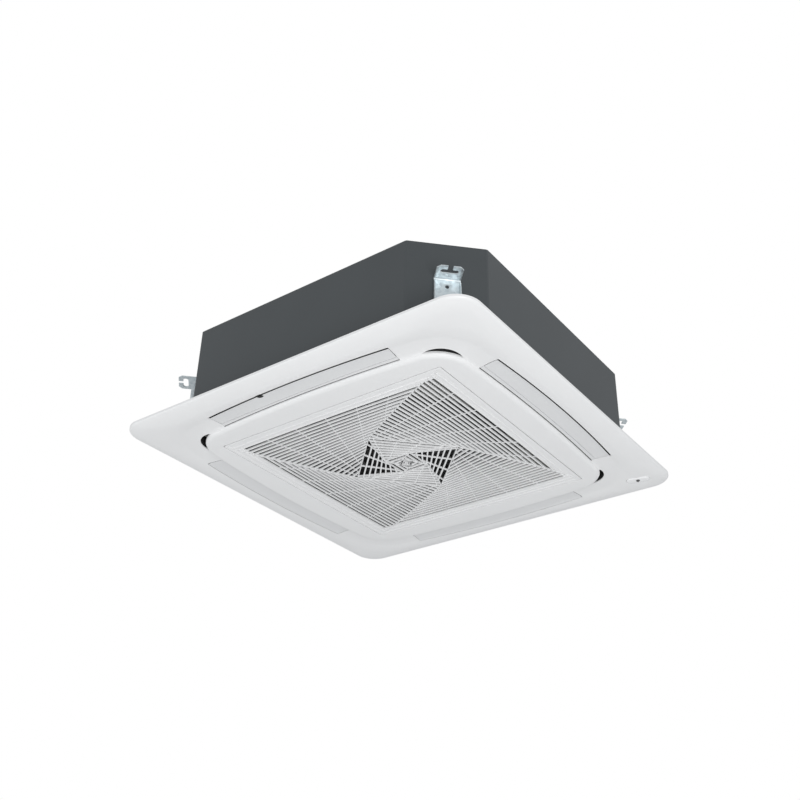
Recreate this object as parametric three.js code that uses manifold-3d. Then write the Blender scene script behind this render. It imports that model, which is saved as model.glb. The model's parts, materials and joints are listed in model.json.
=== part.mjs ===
// Four-way ceiling cassette air conditioner.
// Millimetres, +Z up. The origin is the centre of the unit on the ceiling plane, which is also
// the back face of the panel's rim. The body stands above it in the ceiling void, the panel
// hangs below it. -Y is the front, and a quarter turn about Z leads from one side to the next.

import * as THREE from 'three';
import { mergeVertices } from 'three/addons/utils/BufferGeometryUtils.js';
import Module from 'manifold-3d';

const wasm = await Module();
wasm.setup();

// ---- Driving dimensions -------------------------------------------------------------------

// Clearances
const SEAT = 0.3; // between two pieces that touch
const RUN = 0.35; // round a pin, a shaft or a sliding piece

// Body
const BODY_SIZE = 840; // across two opposite sides
const BODY_CHAMFER = 122.3; // leg of each cut corner
const BODY_TOP = 230; // above the ceiling plane
const BODY_BASE = 14; // the body ends this far above the ceiling plane
const SHEET = 1.5; // steel wall of the body
const LINER_WALL = 14; // foam insulation inside the steel wall
const LINER_ROOF = 12.5; // foam under the top plate
const MOTOR_WINDOW = 100; // radius of the opening in the foam roof

// Drain pan
const PAN_HEIGHT = 48;
const PAN_FLOOR = 20; // trough floor above the pan's underside
const OUTLET_WIDTH = 46; // air slot through the pan, radially
const OUTLET_HALF = 245; // half its length
const PAN_WALL = 13; // between the trough and the air slots
const TROUGH_MARGIN = 45; // trough wall to the coil's outer face
const TROUGH_LIP = 12; // trough wall to the coil's inner face
const PAN_EYE_GAP = 2; // bell mouth to the pan's central opening
const PUMP_PIT = 45; // radius of the sump under the pump
const PUMP_PIT_DEPTH = 6;

// Coil
const COIL_DEPTH = 38; // fin pack, front to back
const COIL_CORNER = 60; // outer radius of its bends
const COIL_END_INSET = 145.2; // trough's wall to the coil's ends, at the open corner
const COIL_PLATE = 2;
const BEND_RADIUS = 9;
const BEND_TUBE = 4;
const BEND_COUNT = 4; // return bends on each end plate

// Fan
const FAN_GAP = 27; // coil's inner face to the fan's rim
const FAN_HEIGHT = 128;
const FAN_DROP = 24; // foam roof to the fan's back plate
const FAN_EYE_STEP = 41; // fan's rim to the edge of its inlet
const FAN_SKIN = 3;
const BLADE_COUNT = 7;
const BLADE_THICK = 5;
const BLADE_ROOT = 138; // radius where a blade starts
const BLADE_SWEEP = 46; // degrees that a blade leans back by
const HUB_DOME = 92; // radius of the dome over the motor, at the back plate
const HUB_EYE = 76; // radius of the dome near its floor
const HUB_FLOOR = 64; // dome floor below the back plate
const BOSS_RADIUS = 16;
const BOSS_HEIGHT = 18;
const MOUTH_OVERLAP = 6; // the bell mouth reaches this far into the fan
const MOUTH_GAP = 6; // its lip to the fan's inlet, radially
const MOUTH_FLARE = 40; // radial width of its curve
const MOUTH_FLANGE = 20; // flat flange screwed under the pan
const MOUTH_SKIN = 2.5;

// Motor
const MOTOR_RADIUS = 68;
const MOTOR_LENGTH = 66;
const MOTOR_FLANGE = 92;
const MOTOR_FLANGE_THICK = 5;
const MOTOR_DROP = 11; // foam roof to the motor's flange
const MOUNT_CIRCLE = 80;
const MOUNT_RADIUS = 9;
const SHAFT_RADIUS = 6;
const SHAFT_SEAT = 28; // length of shaft inside the motor
const NUT_HEIGHT = 7;
const NUT_RADIUS = 11;

// Pump, float and drain
const PUMP_INSET = 45.2; // trough's wall to the pump's centre, along both axes
const PUMP_RADIUS = 33;
const PUMP_HEIGHT = 104; // above its flange
const PUMP_FLANGE = 50;
const PUMP_INLET = 10;
const FLOAT_ASIDE = 62; // pump to float, along the trough
const FLOAT_AWAY = 6; // and towards the trough's wall
const FLOAT_RADIUS = 12;
const FLOAT_HEIGHT = 13;
const FLOAT_TRAVEL = 8;
const STEM_RADIUS = 3;
const STEM_COLLAR = 6;
const DRAIN_INSET = 77.2; // trough's wall to the drain socket's axis
const DRAIN_Z = 190;
const DRAIN_RADIUS = 16;
const DRAIN_BORE = 12;
const DRAIN_REACH = 45; // beyond the body
const HOSE_RADIUS = 10;

// Refrigerant pipes
const PIPE_INSET = 109.2; // trough's wall to the pipes' axes
const GAS_Z = 89;
const LIQUID_Z = 125;
const GAS_RADIUS = 7.95;
const LIQUID_RADIUS = 4.8;
const PIPE_REACH = 52; // beyond the body
const NUT_LENGTH = 20;

// Hangers
const HANGER_WIDTH = 56;
const HANGER_SHEET = 2.5;
const HANGER_REACH = 46; // the ear, out from the cut corner
const HANGER_EAR_Z = 137; // underside of the ear
const HANGER_FOOT_Z = 20;
const HANGER_FLANGE = 12;
const HANGER_SLOT_OUT = 29; // slot centre, out from the cut corner
const HANGER_SLOT_LENGTH = 38;
const HANGER_SLOT_WIDTH = 12;
const HANGER_THROAT = 11; // opening from the slot to the ear's free edge
const HANGER_CLIP = 8; // cut corners of the ear

// Panel
const PANEL_MARGIN = 55; // the rim stands out this far past the body
const PANEL_CORNER = 57;
const RIM_EDGE = 5; // thickness of the rim's outer edge
const RIM_ROUND = 5;
const RIM_CREST = 23; // rim's outer edge to its full depth
const RIM_DROP = 15; // depth of the rim there
const CREASE_INSET = 44; // rim's outer edge to the crease where the channel starts
const CREASE_CORNER = 115;
const CREASE_DROP = 18.5;
const CHANNEL_RISE = 3; // the channel's middle above its crease
const SKIN = 2.4; // wall of the moulding
const FACE_DROP = 26; // face of the ring and the grille below the ceiling
const RING_WIDTH = 62.5; // from the ring's outer wall to the grille's opening
const RING_CORNER = 114;
const RING_ROLL = 9; // rounding of the ring's outer edge
const SIDE_BOW = 6; // the ring and the flaps' inner edges bulge by this
const LIP_HEIGHT = 12; // wall round the grille's opening
const LIP_CORNER = 6;
const CRESCENT_REACH = 16; // width of the corner outlets
const CRESCENT_SPAN = 28; // half the angle that a corner outlet covers, degrees

// Flaps and outlet ducts
const FLAP_INSET = 8; // body's side to the flap's outer edge
const FLAP_WIDTH = 40; // at its ends
const FLAP_BOW = 11; // outer edge
const FLAP_HALF = 250; // half the outer edge's length
const FLAP_SLANT = 5; // the inner edge is this much shorter at each end
const FLAP_SKIN = 2.4;
const FLAP_GAP = 1.2;
const FLAP_TUCK = 3; // room for the inner edge as it turns up behind the ring
const PIVOT_INSET = 14; // flap's inner edge to its pivot
const PIVOT_DROP = 9.5; // pivot below the ceiling plane
const PIVOT_RADIUS = 2.5;
const PIVOT_WEB = 3.6;
const PIVOT_LENGTH = 17;
const WEB_THICK = 3.5;
const DUCT_WALL = 6;
const NOTCH_AT = -89; // finger notch in the front outlet's outer edge
const NOTCH_LENGTH = 19;
const NOTCH_DEPTH = 3.5;
const STEPPER_RADIUS = 11.5;
const STEPPER_LENGTH = 16;
const STEPPER_OFFSET = 8.4; // its output stands this far below its centre

// Intake grille
const GRILLE_GAP = 2;
const GRILLE_CORNER = 5;
const GRILLE_BORDER = 6;
const GRILLE_DEPTH = 9;
const SLAT_PITCH = 12.2;
const SLAT_THICK = 3.4;
const RIB_THICK = 2.6;
const WHIRL_RATIO = 0.356; // each inner square to the one round it
const WHIRL_START = 2.3; // degrees between the outermost slats and the square's side
const WHIRL_GROWTH = 2.97; // how fast the slats turn towards the inner square
const WHIRL_RIBS = [1, 0, 0]; // cross ribs in a sector, for each square from the outside in
const SEAM_CURL = 1.3;
const SEAM_STEPS = 4;
const HINGE_INSET = 4; // grille's edge to its hinge axis
const HINGE_LIFT = 2.5; // hinge axis above the grille's face
const HINGE_PIN = 1.5;
const HINGE_PIN_LENGTH = 4.5;

// Filter and latches
const FILTER_INSET = 19; // grille's edge to the filter's frame
const FILTER_THICK = 4;
const FILTER_BAR = 8;
const FILTER_CELLS = 3;
const NET_THICK = 0.8;
const LATCH_X = 200;
const LATCH_WIDTH = 30;
const LATCH_LENGTH = 9;
const LATCH_THICK = 4;
const LATCH_NOSE = 5;
const LATCH_TRAVEL = 8;
const RAIL_THICK = 3;

// Receiver window
const RECEIVER_INSET_X = 66; // panel's side to the window's centre
const RECEIVER_INSET_Y = 76;
const RECEIVER_TURN = 14; // degrees
const RECEIVER_LENGTH = 56;
const RECEIVER_WIDTH = 24;
const RECEIVER_DROP = 19.5; // its face below the ceiling
const RECEIVER_DEPTH = 8;
const LENS_RADIUS = 4.6;
const LENS_PROUD = 0.6;

// Control box
const BOX_LENGTH = 400;
const BOX_WIDTH = 46;
const BOX_DEPTH = 20;
const BOX_INSET = 252; // unit's centre to the box's near wall
const BOX_CLEAR = 4; // the flange of the bell mouth keeps this far from the box
const BOX_SHEET = 1.2;
const BOARD_THICK = 1.6;
const BOARD_GAP = 3;

// ---- Places worked out from them ----------------------------------------------------------

const BODY_HALF = BODY_SIZE / 2;
const CHAMFER_FACE = (BODY_SIZE - BODY_CHAMFER) / Math.SQRT2;
const PANEL_HALF = BODY_HALF + PANEL_MARGIN;
const LINER_OUT = BODY_HALF - SHEET - SEAT;
const LINER_IN = LINER_OUT - LINER_WALL;
const ROOF_TOP = BODY_TOP - SHEET - SEAT;
const ROOF_UNDER = ROOF_TOP - LINER_ROOF;
const PAN_BASE = BODY_BASE + SEAT;
const PAN_TOP = PAN_BASE + PAN_HEIGHT;
const TROUGH_Z = PAN_BASE + PAN_FLOOR;
const OUTLET_OUT = LINER_IN;
const OUTLET_IN = OUTLET_OUT - OUTLET_WIDTH;
const TROUGH_OUT = OUTLET_IN - PAN_WALL;
const COIL_OUT = TROUGH_OUT - TROUGH_MARGIN;
const COIL_IN = COIL_OUT - COIL_DEPTH;
const COIL_MID = COIL_OUT - COIL_DEPTH / 2;
const TROUGH_IN = COIL_IN - TROUGH_LIP;
const COIL_CUT = TROUGH_OUT - COIL_END_INSET;
const PUMP_OFFSET = TROUGH_OUT - PUMP_INSET;
const FLOAT_X = -PUMP_OFFSET + FLOAT_ASIDE;
const FLOAT_Y = PUMP_OFFSET + FLOAT_AWAY;
const DRAIN_Y = TROUGH_OUT - DRAIN_INSET;
const PIPE_Y = TROUGH_OUT - PIPE_INSET;
const FAN_RADIUS = COIL_IN - FAN_GAP;
const FAN_TOP = ROOF_UNDER - FAN_DROP;
const FAN_BASE = FAN_TOP - FAN_HEIGHT;
const FAN_EYE = FAN_RADIUS - FAN_EYE_STEP;
const MOUTH_LIP = FAN_EYE - MOUTH_GAP - MOUTH_SKIN;
const MOUTH_TOP = FAN_BASE + MOUTH_OVERLAP;
const MOUTH_OUT = MOUTH_LIP + MOUTH_FLARE;
const PAN_EYE = MOUTH_OUT + PAN_EYE_GAP;
const MOUTH_BASE = PAN_BASE - SEAT - MOUTH_SKIN;
const MOTOR_TOP = ROOF_UNDER - MOTOR_DROP;
const MOTOR_BASE = MOTOR_TOP - MOTOR_LENGTH;
const BOSS_TOP = FAN_TOP - HUB_FLOOR;
const BOSS_BASE = BOSS_TOP - BOSS_HEIGHT;
const FLAP_OUT = BODY_HALF - FLAP_INSET;
const FLAP_IN = FLAP_OUT - FLAP_WIDTH;
const PIVOT_R = FLAP_IN + PIVOT_INSET;
const SLOT_IN = FLAP_IN - FLAP_TUCK;
const SLOT_OUT = FLAP_OUT + FLAP_GAP;
const RING_OUT = SLOT_IN - 0.5;
const GRILLE_OPENING = RING_OUT - RING_WIDTH;
const GRILLE_HALF = GRILLE_OPENING - GRILLE_GAP;
const GRILLE_BACK = -FACE_DROP + GRILLE_DEPTH;
const CREASE = PANEL_HALF - CREASE_INSET;
const CHANNEL_MID = (FLAP_IN + FLAP_OUT) / 2 + 3;
const CHANNEL_INNER = RING_OUT + 4;
const CHANNEL_INNER_DROP = CREASE_DROP - CHANNEL_RISE / 2;
const FILTER_HALF = GRILLE_HALF - FILTER_INSET;
const PUMP_SEAT = PAN_TOP + SEAT;
const DUCT_TOP = BODY_BASE - SEAT;
const RECEIVER_X = PANEL_HALF - RECEIVER_INSET_X;
const RECEIVER_Y = PANEL_HALF - RECEIVER_INSET_Y;

// ---- Materials ----------------------------------------------------------------------------

function finish(color, roughness, metalness = 0) {
  return new THREE.MeshStandardMaterial({ color, roughness, metalness });
}

const WHITE = finish(0xe9eaea, 0.42);
const SOFT_WHITE = finish(0xdfe0e1, 0.45);
const DARK_STEEL = finish(0x42474a, 0.55, 0.3);
const ZINC = finish(0xb9c6cc, 0.35, 0.9);
const FOAM = finish(0xd8d9d6, 0.9);
const DARK_FOAM = finish(0x2b2d2f, 0.95);
const FIN = finish(0xc3c8cb, 0.4, 0.85);
const COPPER = finish(0xb4704a, 0.3, 1);
const BRASS = finish(0xc2a255, 0.35, 1);
const BLACK = finish(0x1c1d1f, 0.6);
const GREY = finish(0x8d9194, 0.6);
const STEEL = finish(0x9fa4a8, 0.3, 1);
const GREEN = finish(0x2f6b45, 0.6);
const GLASS = finish(0x08090a, 0.12);

// ---- Helpers ------------------------------------------------------------------------------

const QUARTER = Math.PI / 2;
const group = new THREE.Group();

// A closed geometry as a solid that can be joined and cut.
function solid(geometry) {
  const bare = new THREE.BufferGeometry();
  bare.setAttribute('position', geometry.getAttribute('position').clone());
  if (geometry.index) bare.setIndex(geometry.index.clone());
  const merged = mergeVertices(bare, 1e-4);
  const faces = [];
  const index = merged.index.array;
  for (let i = 0; i < index.length; i += 3) {
    const [a, b, c] = [index[i], index[i + 1], index[i + 2]];
    if (a !== b && b !== c && c !== a) faces.push(a, b, c);
  }
  return new wasm.Manifold(new wasm.Mesh({
    numProp: 3,
    vertProperties: Float32Array.from(merged.getAttribute('position').array),
    triVerts: Uint32Array.from(faces),
  }));
}

// A solid as a geometry that three.js can show.
function geometryOf(body) {
  const mesh = body.getMesh();
  const geometry = new THREE.BufferGeometry();
  geometry.setAttribute('position', new THREE.BufferAttribute(mesh.vertProperties, 3));
  geometry.setIndex(new THREE.BufferAttribute(mesh.triVerts, 1));
  geometry.computeVertexNormals();
  return geometry;
}

// Adds a named piece. The turn is in quarters about Z. Making the solid anew joins the flat
// faces that cuts have left in strips.
function piece(name, body, material, quarters = 0) {
  const mesh = new THREE.Mesh(geometryOf(solid(geometryOf(body))), material);
  mesh.name = name;
  mesh.rotation.z = quarters * QUARTER;
  group.add(mesh);
  return mesh;
}

function unite(bodies) {
  return bodies.reduce((sum, body) => sum.add(body));
}

// A flat shape raised from z0 to z1.
function raise(shape, z0, z1, curveSegments = 12) {
  const geometry = new THREE.ExtrudeGeometry(shape, {
    depth: z1 - z0,
    bevelEnabled: false,
    curveSegments,
  });
  return solid(geometry.translate(0, 0, z0));
}

function box(x0, x1, y0, y1, z0, z1) {
  const geometry = new THREE.BoxGeometry(x1 - x0, y1 - y0, z1 - z0);
  return solid(geometry.translate((x0 + x1) / 2, (y0 + y1) / 2, (z0 + z1) / 2));
}

// A round bar along an axis, from a to b, centred on the other two coordinates.
function bar(axis, radius, a, b, u, v, sides = 12) {
  const geometry = new THREE.CylinderGeometry(radius, radius, b - a, sides);
  geometry.translate(0, (a + b) / 2, 0);
  if (axis === 'z') return solid(geometry.rotateX(QUARTER).translate(u, v, 0));
  if (axis === 'x') return solid(geometry.rotateZ(-QUARTER).translate(0, u, v));
  return solid(geometry.translate(u, 0, v));
}

// A closed profile of [radius, z] points turned about Z.
function turn(profile, segments = 24) {
  const points = profile.map(([r, z]) => new THREE.Vector2(r, z));
  if (THREE.ShapeUtils.area(points) < 0) points.reverse();
  points.push(points[0].clone());
  return solid(new THREE.LatheGeometry(points, segments).rotateX(QUARTER));
}

function polygon(points) {
  return new THREE.Shape(points.map(([x, y]) => new THREE.Vector2(x, y)));
}

// The body's octagon, shrunk inwards by an inset.
function octagon(inset) {
  const half = BODY_HALF - inset;
  const leg = half - (CHAMFER_FACE - inset) * Math.SQRT2 + half;
  const flat = half - leg;
  const points = [];
  for (let q = 0; q < 4; q++) {
    for (const [x, y] of [[-flat, -half], [flat, -half]]) {
      points.push(turned(x, y, q * QUARTER));
    }
  }
  return polygon(points);
}

function turned(x, y, angle) {
  const [c, s] = [Math.cos(angle), Math.sin(angle)];
  return [x * c - y * s, x * s + y * c];
}

function roundedSquare(half, radius) {
  const shape = new THREE.Shape();
  const flat = half - radius;
  shape.moveTo(-flat, -half);
  shape.lineTo(flat, -half);
  shape.absarc(flat, -flat, radius, -QUARTER, 0, false);
  shape.lineTo(half, flat);
  shape.absarc(flat, flat, radius, 0, QUARTER, false);
  shape.lineTo(-flat, half);
  shape.absarc(-flat, flat, radius, QUARTER, 2 * QUARTER, false);
  shape.lineTo(-half, -flat);
  shape.absarc(-flat, -flat, radius, 2 * QUARTER, 3 * QUARTER, false);
  return shape;
}

// How far an edge that bulges by bow stands out at t, with no bulge at +-span.
function bulge(bow, t, span) {
  return bow * (1 - (t / span) ** 2);
}

// A rounded square loop at height z whose sides bulge, with the same count of points at any size.
const LOOP_ARC = 5;
const LOOP_SIDE = 4;
function loop(half, radius, z, bow) {
  const flat = half - radius;
  const points = [];
  for (let q = 0; q < 4; q++) {
    for (let i = 0; i <= LOOP_SIDE; i++) {
      const t = flat * ((2 * i) / LOOP_SIDE - 1);
      points.push([...turned(t, -half - bulge(bow, t, flat), q * QUARTER), z]);
    }
    for (let i = 1; i < LOOP_ARC; i++) {
      const angle = -QUARTER + (QUARTER * i) / LOOP_ARC;
      const x = flat + radius * Math.cos(angle);
      const y = -flat + radius * Math.sin(angle);
      points.push([...turned(x, y, q * QUARTER), z]);
    }
  }
  return points;
}

// Joins loops of equal length into a skin. A closed ring of loops makes a frame, and an open
// row of loops is capped at both ends.
function loft(loops, ring) {
  const count = loops[0].length;
  const positions = loops.flat(2);
  const faces = [];
  const rows = ring ? loops.length : loops.length - 1;
  for (let r = 0; r < rows; r++) {
    const next = (r + 1) % loops.length;
    for (let i = 0; i < count; i++) {
      const j = (i + 1) % count;
      const [a, b] = [r * count + i, r * count + j];
      const [c, d] = [next * count + i, next * count + j];
      faces.push(a, b, d, a, d, c);
    }
  }
  if (!ring) {
    const last = (loops.length - 1) * count;
    for (let i = 1; i < count - 1; i++) {
      faces.push(0, i + 1, i, last, last + i, last + i + 1);
    }
  }
  const geometry = new THREE.BufferGeometry();
  geometry.setAttribute('position', new THREE.Float32BufferAttribute(positions, 3));
  geometry.setIndex(volume(positions, faces) < 0 ? faces.reverse() : faces);
  return solid(geometry);
}

function volume(positions, faces) {
  const point = (i) => new THREE.Vector3().fromArray(positions, 3 * i);
  let total = 0;
  for (let i = 0; i < faces.length; i += 3) {
    const [a, b, c] = [point(faces[i]), point(faces[i + 1]), point(faces[i + 2])];
    total += a.dot(b.cross(c)) / 6;
  }
  return total;
}

// A solid tube along a curve.
function tube(curve, radius, steps, sides = 10) {
  const section = new THREE.Shape();
  section.absarc(0, 0, radius, 0, 2 * Math.PI, false);
  return solid(new THREE.ExtrudeGeometry(section, {
    extrudePath: curve,
    steps,
    curveSegments: sides / 2,
    bevelEnabled: false,
  }));
}

// ---- Body ---------------------------------------------------------------------------------

const holesInWall = () => [
  bar('x', DRAIN_RADIUS + RUN, -BODY_HALF - 5, -LINER_IN + 5, DRAIN_Y, DRAIN_Z, 14),
  bar('x', GAS_RADIUS + RUN, -BODY_HALF - 5, -LINER_IN + 5, PIPE_Y, GAS_Z, 12),
  bar('x', LIQUID_RADIUS + RUN, -BODY_HALF - 5, -LINER_IN + 5, PIPE_Y, LIQUID_Z, 12),
];

function cabinetShell() {
  const outer = raise(octagon(0), BODY_BASE, BODY_TOP - SHEET - SEAT);
  const inner = raise(octagon(SHEET), BODY_BASE - 1, BODY_TOP);
  return holesInWall().reduce((body, hole) => body.subtract(hole), outer.subtract(inner));
}

function topPlate() {
  return raise(octagon(0), BODY_TOP - SHEET, BODY_TOP);
}

function liner() {
  const outer = raise(octagon(BODY_HALF - LINER_OUT), PAN_TOP + SEAT, ROOF_TOP);
  const hollow = raise(octagon(BODY_HALF - LINER_IN), PAN_TOP, ROOF_UNDER);
  const window = bar('z', MOTOR_WINDOW, ROOF_UNDER - 1, BODY_TOP, 0, 0, 24);
  const body = outer.subtract(hollow).subtract(window);
  return holesInWall().reduce((sum, hole) => sum.subtract(hole), body);
}

// The pan has a trough under the coil, a round eye for the bell mouth and four air slots.
function drainPan() {
  let body = raise(octagon(BODY_HALF - LINER_OUT), PAN_BASE, PAN_TOP);
  body = body.subtract(bar('z', PAN_EYE, PAN_BASE - 1, PAN_TOP + 1, 0, 0, 28));
  const trough = raise(roundedSquare(TROUGH_OUT, COIL_CORNER), TROUGH_Z, PAN_TOP + 1, 4)
    .subtract(raise(roundedSquare(TROUGH_IN, COIL_CORNER - COIL_DEPTH), TROUGH_Z - 1, PAN_TOP + 2, 4));
  body = body.subtract(trough);
  const pit = bar('z', PUMP_PIT, TROUGH_Z - PUMP_PIT_DEPTH, PAN_TOP + 1, -PUMP_OFFSET, PUMP_OFFSET, 16);
  body = body.subtract(pit);
  const slot = box(-OUTLET_HALF, OUTLET_HALF, -OUTLET_OUT, -OUTLET_IN, PAN_BASE - 1, PAN_TOP + 1);
  for (let q = 0; q < 4; q++) body = body.subtract(slot.rotate([0, 0, 90 * q]));
  return body;
}

// The coil runs round three corners and stays open at the fourth, where the pump stands.
function coilOutline() {
  const inner = COIL_CORNER - COIL_DEPTH;
  const flat = COIL_OUT - COIL_CORNER;
  const shape = new THREE.Shape();
  shape.moveTo(-COIL_OUT, COIL_CUT);
  shape.lineTo(-COIL_OUT, -flat);
  shape.absarc(-flat, -flat, COIL_CORNER, 2 * QUARTER, 3 * QUARTER, false);
  shape.lineTo(flat, -COIL_OUT);
  shape.absarc(flat, -flat, COIL_CORNER, 3 * QUARTER, 4 * QUARTER, false);
  shape.lineTo(COIL_OUT, flat);
  shape.absarc(flat, flat, COIL_CORNER, 0, QUARTER, false);
  shape.lineTo(-COIL_CUT, COIL_OUT);
  shape.lineTo(-COIL_CUT, COIL_IN);
  shape.lineTo(flat, COIL_IN);
  shape.absarc(flat, flat, inner, QUARTER, 0, true);
  shape.lineTo(COIL_IN, -flat);
  shape.absarc(flat, -flat, inner, 4 * QUARTER, 3 * QUARTER, true);
  shape.lineTo(-flat, -COIL_IN);
  shape.absarc(-flat, -flat, inner, 3 * QUARTER, 2 * QUARTER, true);
  shape.lineTo(-COIL_IN, COIL_CUT);
  return shape;
}

const COIL_BASE = TROUGH_Z + SEAT;
const COIL_TOP = ROOF_UNDER - SEAT;

// An end plate with its row of return bends, built beyond the end at +Y of the left run.
function coilEnd() {
  const y = COIL_CUT + SEAT;
  const plate = box(-COIL_OUT, -COIL_IN, y, y + COIL_PLATE, COIL_BASE, COIL_TOP);
  const pitch = (COIL_TOP - COIL_BASE) / (BEND_COUNT + 1);
  const bends = [];
  for (let i = 1; i <= BEND_COUNT; i++) {
    const z = COIL_BASE + pitch * i;
    const bend = new THREE.TorusGeometry(BEND_RADIUS, BEND_TUBE, 5, 4, Math.PI);
    const capped = solid(closedArc(bend, 5, 4));
    bends.push(capped.translate([-COIL_MID, y + COIL_PLATE - 0.5, z]));
  }
  return unite([plate, ...bends]);
}

// Closes the two open ends of a half torus.
function closedArc(torus, radial, tubular) {
  const position = torus.getAttribute('position');
  const index = Array.from(torus.index.array);
  const row = tubular + 1;
  for (const end of [0, tubular]) {
    const rim = [];
    for (let j = 0; j < radial; j++) rim.push(j * row + end);
    for (let j = 1; j < radial - 1; j++) {
      if (end === 0) index.push(rim[0], rim[j], rim[j + 1]);
      else index.push(rim[0], rim[j + 1], rim[j]);
    }
  }
  const geometry = new THREE.BufferGeometry();
  geometry.setAttribute('position', position.clone());
  const positions = Array.from(position.array);
  geometry.setIndex(volume(positions, index) < 0 ? index.reverse() : index);
  return geometry;
}

// ---- Fan, motor and bell mouth ------------------------------------------------------------

function quarterCurve(r0, z0, r1, z1, steps) {
  // From (r0, z0), upright, to (r1, z1), level.
  const points = [];
  for (let i = 0; i <= steps; i++) {
    const angle = (QUARTER * i) / steps;
    points.push([r1 + (r0 - r1) * Math.cos(angle), z0 + (z1 - z0) * Math.sin(angle)]);
  }
  return points;
}

function bellMouth() {
  const flat = MOUTH_BASE + MOUTH_SKIN;
  const inside = quarterCurve(MOUTH_LIP, MOUTH_TOP, MOUTH_OUT, MOUTH_BASE, 4);
  const outside = quarterCurve(MOUTH_LIP + MOUTH_SKIN, MOUTH_TOP, MOUTH_OUT, flat, 4);
  const mouth = turn([
    ...inside,
    [MOUTH_OUT + MOUTH_FLANGE, MOUTH_BASE],
    [MOUTH_OUT + MOUTH_FLANGE, flat],
    ...outside.reverse(),
  ], 28);
  // The control box stands beside the flange, which is cut straight where it would reach the box.
  const half = BOX_LENGTH / 2 + BOX_CLEAR;
  const near = BOX_INSET - BOX_CLEAR;
  const room = box(-half, half, -near - BOX_WIDTH - 2 * BOX_CLEAR, -near, MOUTH_BASE - 1, MOUTH_TOP);
  return mouth.subtract(room);
}

const SHROUD_RIM_Z = FAN_BASE + FAN_HEIGHT * 0.32;

// The curved inlet ring of the fan, from its eye to its rim, at an offset from its air side.
function shroudCurve(offset) {
  return quarterCurve(FAN_EYE + offset, FAN_BASE, FAN_RADIUS, SHROUD_RIM_Z - offset, 3);
}

function turboFan() {
  const shroud = turn([...shroudCurve(0), ...shroudCurve(FAN_SKIN).reverse()]);
  const floor = FAN_TOP - HUB_FLOOR;
  const hub = turn([
    [FAN_RADIUS, FAN_TOP],
    [HUB_DOME, FAN_TOP],
    [HUB_EYE, floor + FAN_SKIN * 4],
    [HUB_EYE - FAN_SKIN * 3, floor],
    [SHAFT_RADIUS + RUN, floor],
    [SHAFT_RADIUS + RUN, floor - BOSS_HEIGHT],
    [BOSS_RADIUS, floor - BOSS_HEIGHT],
    [BOSS_RADIUS, floor - FAN_SKIN],
    [HUB_EYE - FAN_SKIN * 2, floor - FAN_SKIN],
    [HUB_EYE + FAN_SKIN, floor + FAN_SKIN * 3],
    [HUB_DOME + FAN_SKIN, FAN_TOP - FAN_SKIN],
    [FAN_RADIUS, FAN_TOP - FAN_SKIN],
  ]);
  // Room for the blades: clear of the bell mouth, into the middle of the shroud and the hub.
  const clear = MOUTH_TOP + MOUTH_GAP;
  const room = turn([
    [HUB_DOME + FAN_SKIN * 2, clear],
    [FAN_EYE + FAN_SKIN / 2, clear],
    ...shroudCurve(FAN_SKIN / 2).slice(1, -1),
    [FAN_RADIUS - 1, SHROUD_RIM_Z - FAN_SKIN / 2],
    [FAN_RADIUS - 1, FAN_TOP - FAN_SKIN / 2],
    [HUB_DOME + FAN_SKIN * 2, FAN_TOP - FAN_SKIN / 2],
  ]);
  const blade = raise(bladeOutline(), FAN_BASE - 5, FAN_TOP + 5);
  const blades = [];
  for (let i = 0; i < BLADE_COUNT; i++) {
    blades.push(blade.rotate([0, 0, (360 * i) / BLADE_COUNT]).intersect(room));
  }
  return unite([shroud, hub, ...blades]);
}

// A backward-curved blade in plan: its camber line leans back as it goes out.
function bladeOutline() {
  const steps = 4;
  const front = [];
  const back = [];
  for (let i = 0; i <= steps; i++) {
    const share = i / steps;
    const r = BLADE_ROOT + (FAN_RADIUS - BLADE_ROOT) * share;
    const angle = -THREE.MathUtils.degToRad(BLADE_SWEEP) * share ** 1.3;
    const half = (BLADE_THICK / 2) * (0.45 + 0.55 * Math.sin(Math.PI * (0.15 + 0.75 * share)));
    const [x, y] = [r * Math.cos(angle), r * Math.sin(angle)];
    const lean = angle - 0.9;
    front.push([x - half * Math.sin(lean), y + half * Math.cos(lean)]);
    back.push([x + half * Math.sin(lean), y - half * Math.cos(lean)]);
  }
  return polygon([...front, ...back.reverse()]);
}

function fanMotor() {
  const body = turn([
    [0, MOTOR_TOP],
    [MOTOR_FLANGE, MOTOR_TOP],
    [MOTOR_FLANGE, MOTOR_TOP - MOTOR_FLANGE_THICK],
    [MOTOR_RADIUS, MOTOR_TOP - MOTOR_FLANGE_THICK],
    [MOTOR_RADIUS, MOTOR_BASE + 6],
    [MOTOR_RADIUS - 8, MOTOR_BASE],
    [0, MOTOR_BASE],
  ], 20);
  return body.subtract(bar('z', SHAFT_RADIUS + RUN, MOTOR_BASE - 1, MOTOR_BASE + SHAFT_SEAT + SEAT, 0, 0));
}

function motorShaft() {
  return bar('z', SHAFT_RADIUS, BOSS_BASE - NUT_HEIGHT - 2, MOTOR_BASE + SHAFT_SEAT, 0, 0);
}

function fanNut() {
  const nut = bar('z', NUT_RADIUS, BOSS_BASE - SEAT - NUT_HEIGHT, BOSS_BASE - SEAT, 0, 0, 6);
  return nut.subtract(bar('z', SHAFT_RADIUS + RUN, BOSS_BASE - 20, BOSS_BASE, 0, 0));
}

function motorMount(quarter) {
  const angle = QUARTER * (quarter + 0.5);
  const x = MOUNT_CIRCLE * Math.cos(angle);
  const y = MOUNT_CIRCLE * Math.sin(angle);
  return bar('z', MOUNT_RADIUS, MOTOR_TOP + SEAT, BODY_TOP - SHEET - SEAT, x, y, 12);
}

// ---- Pump, float, drain and pipes ---------------------------------------------------------

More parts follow.
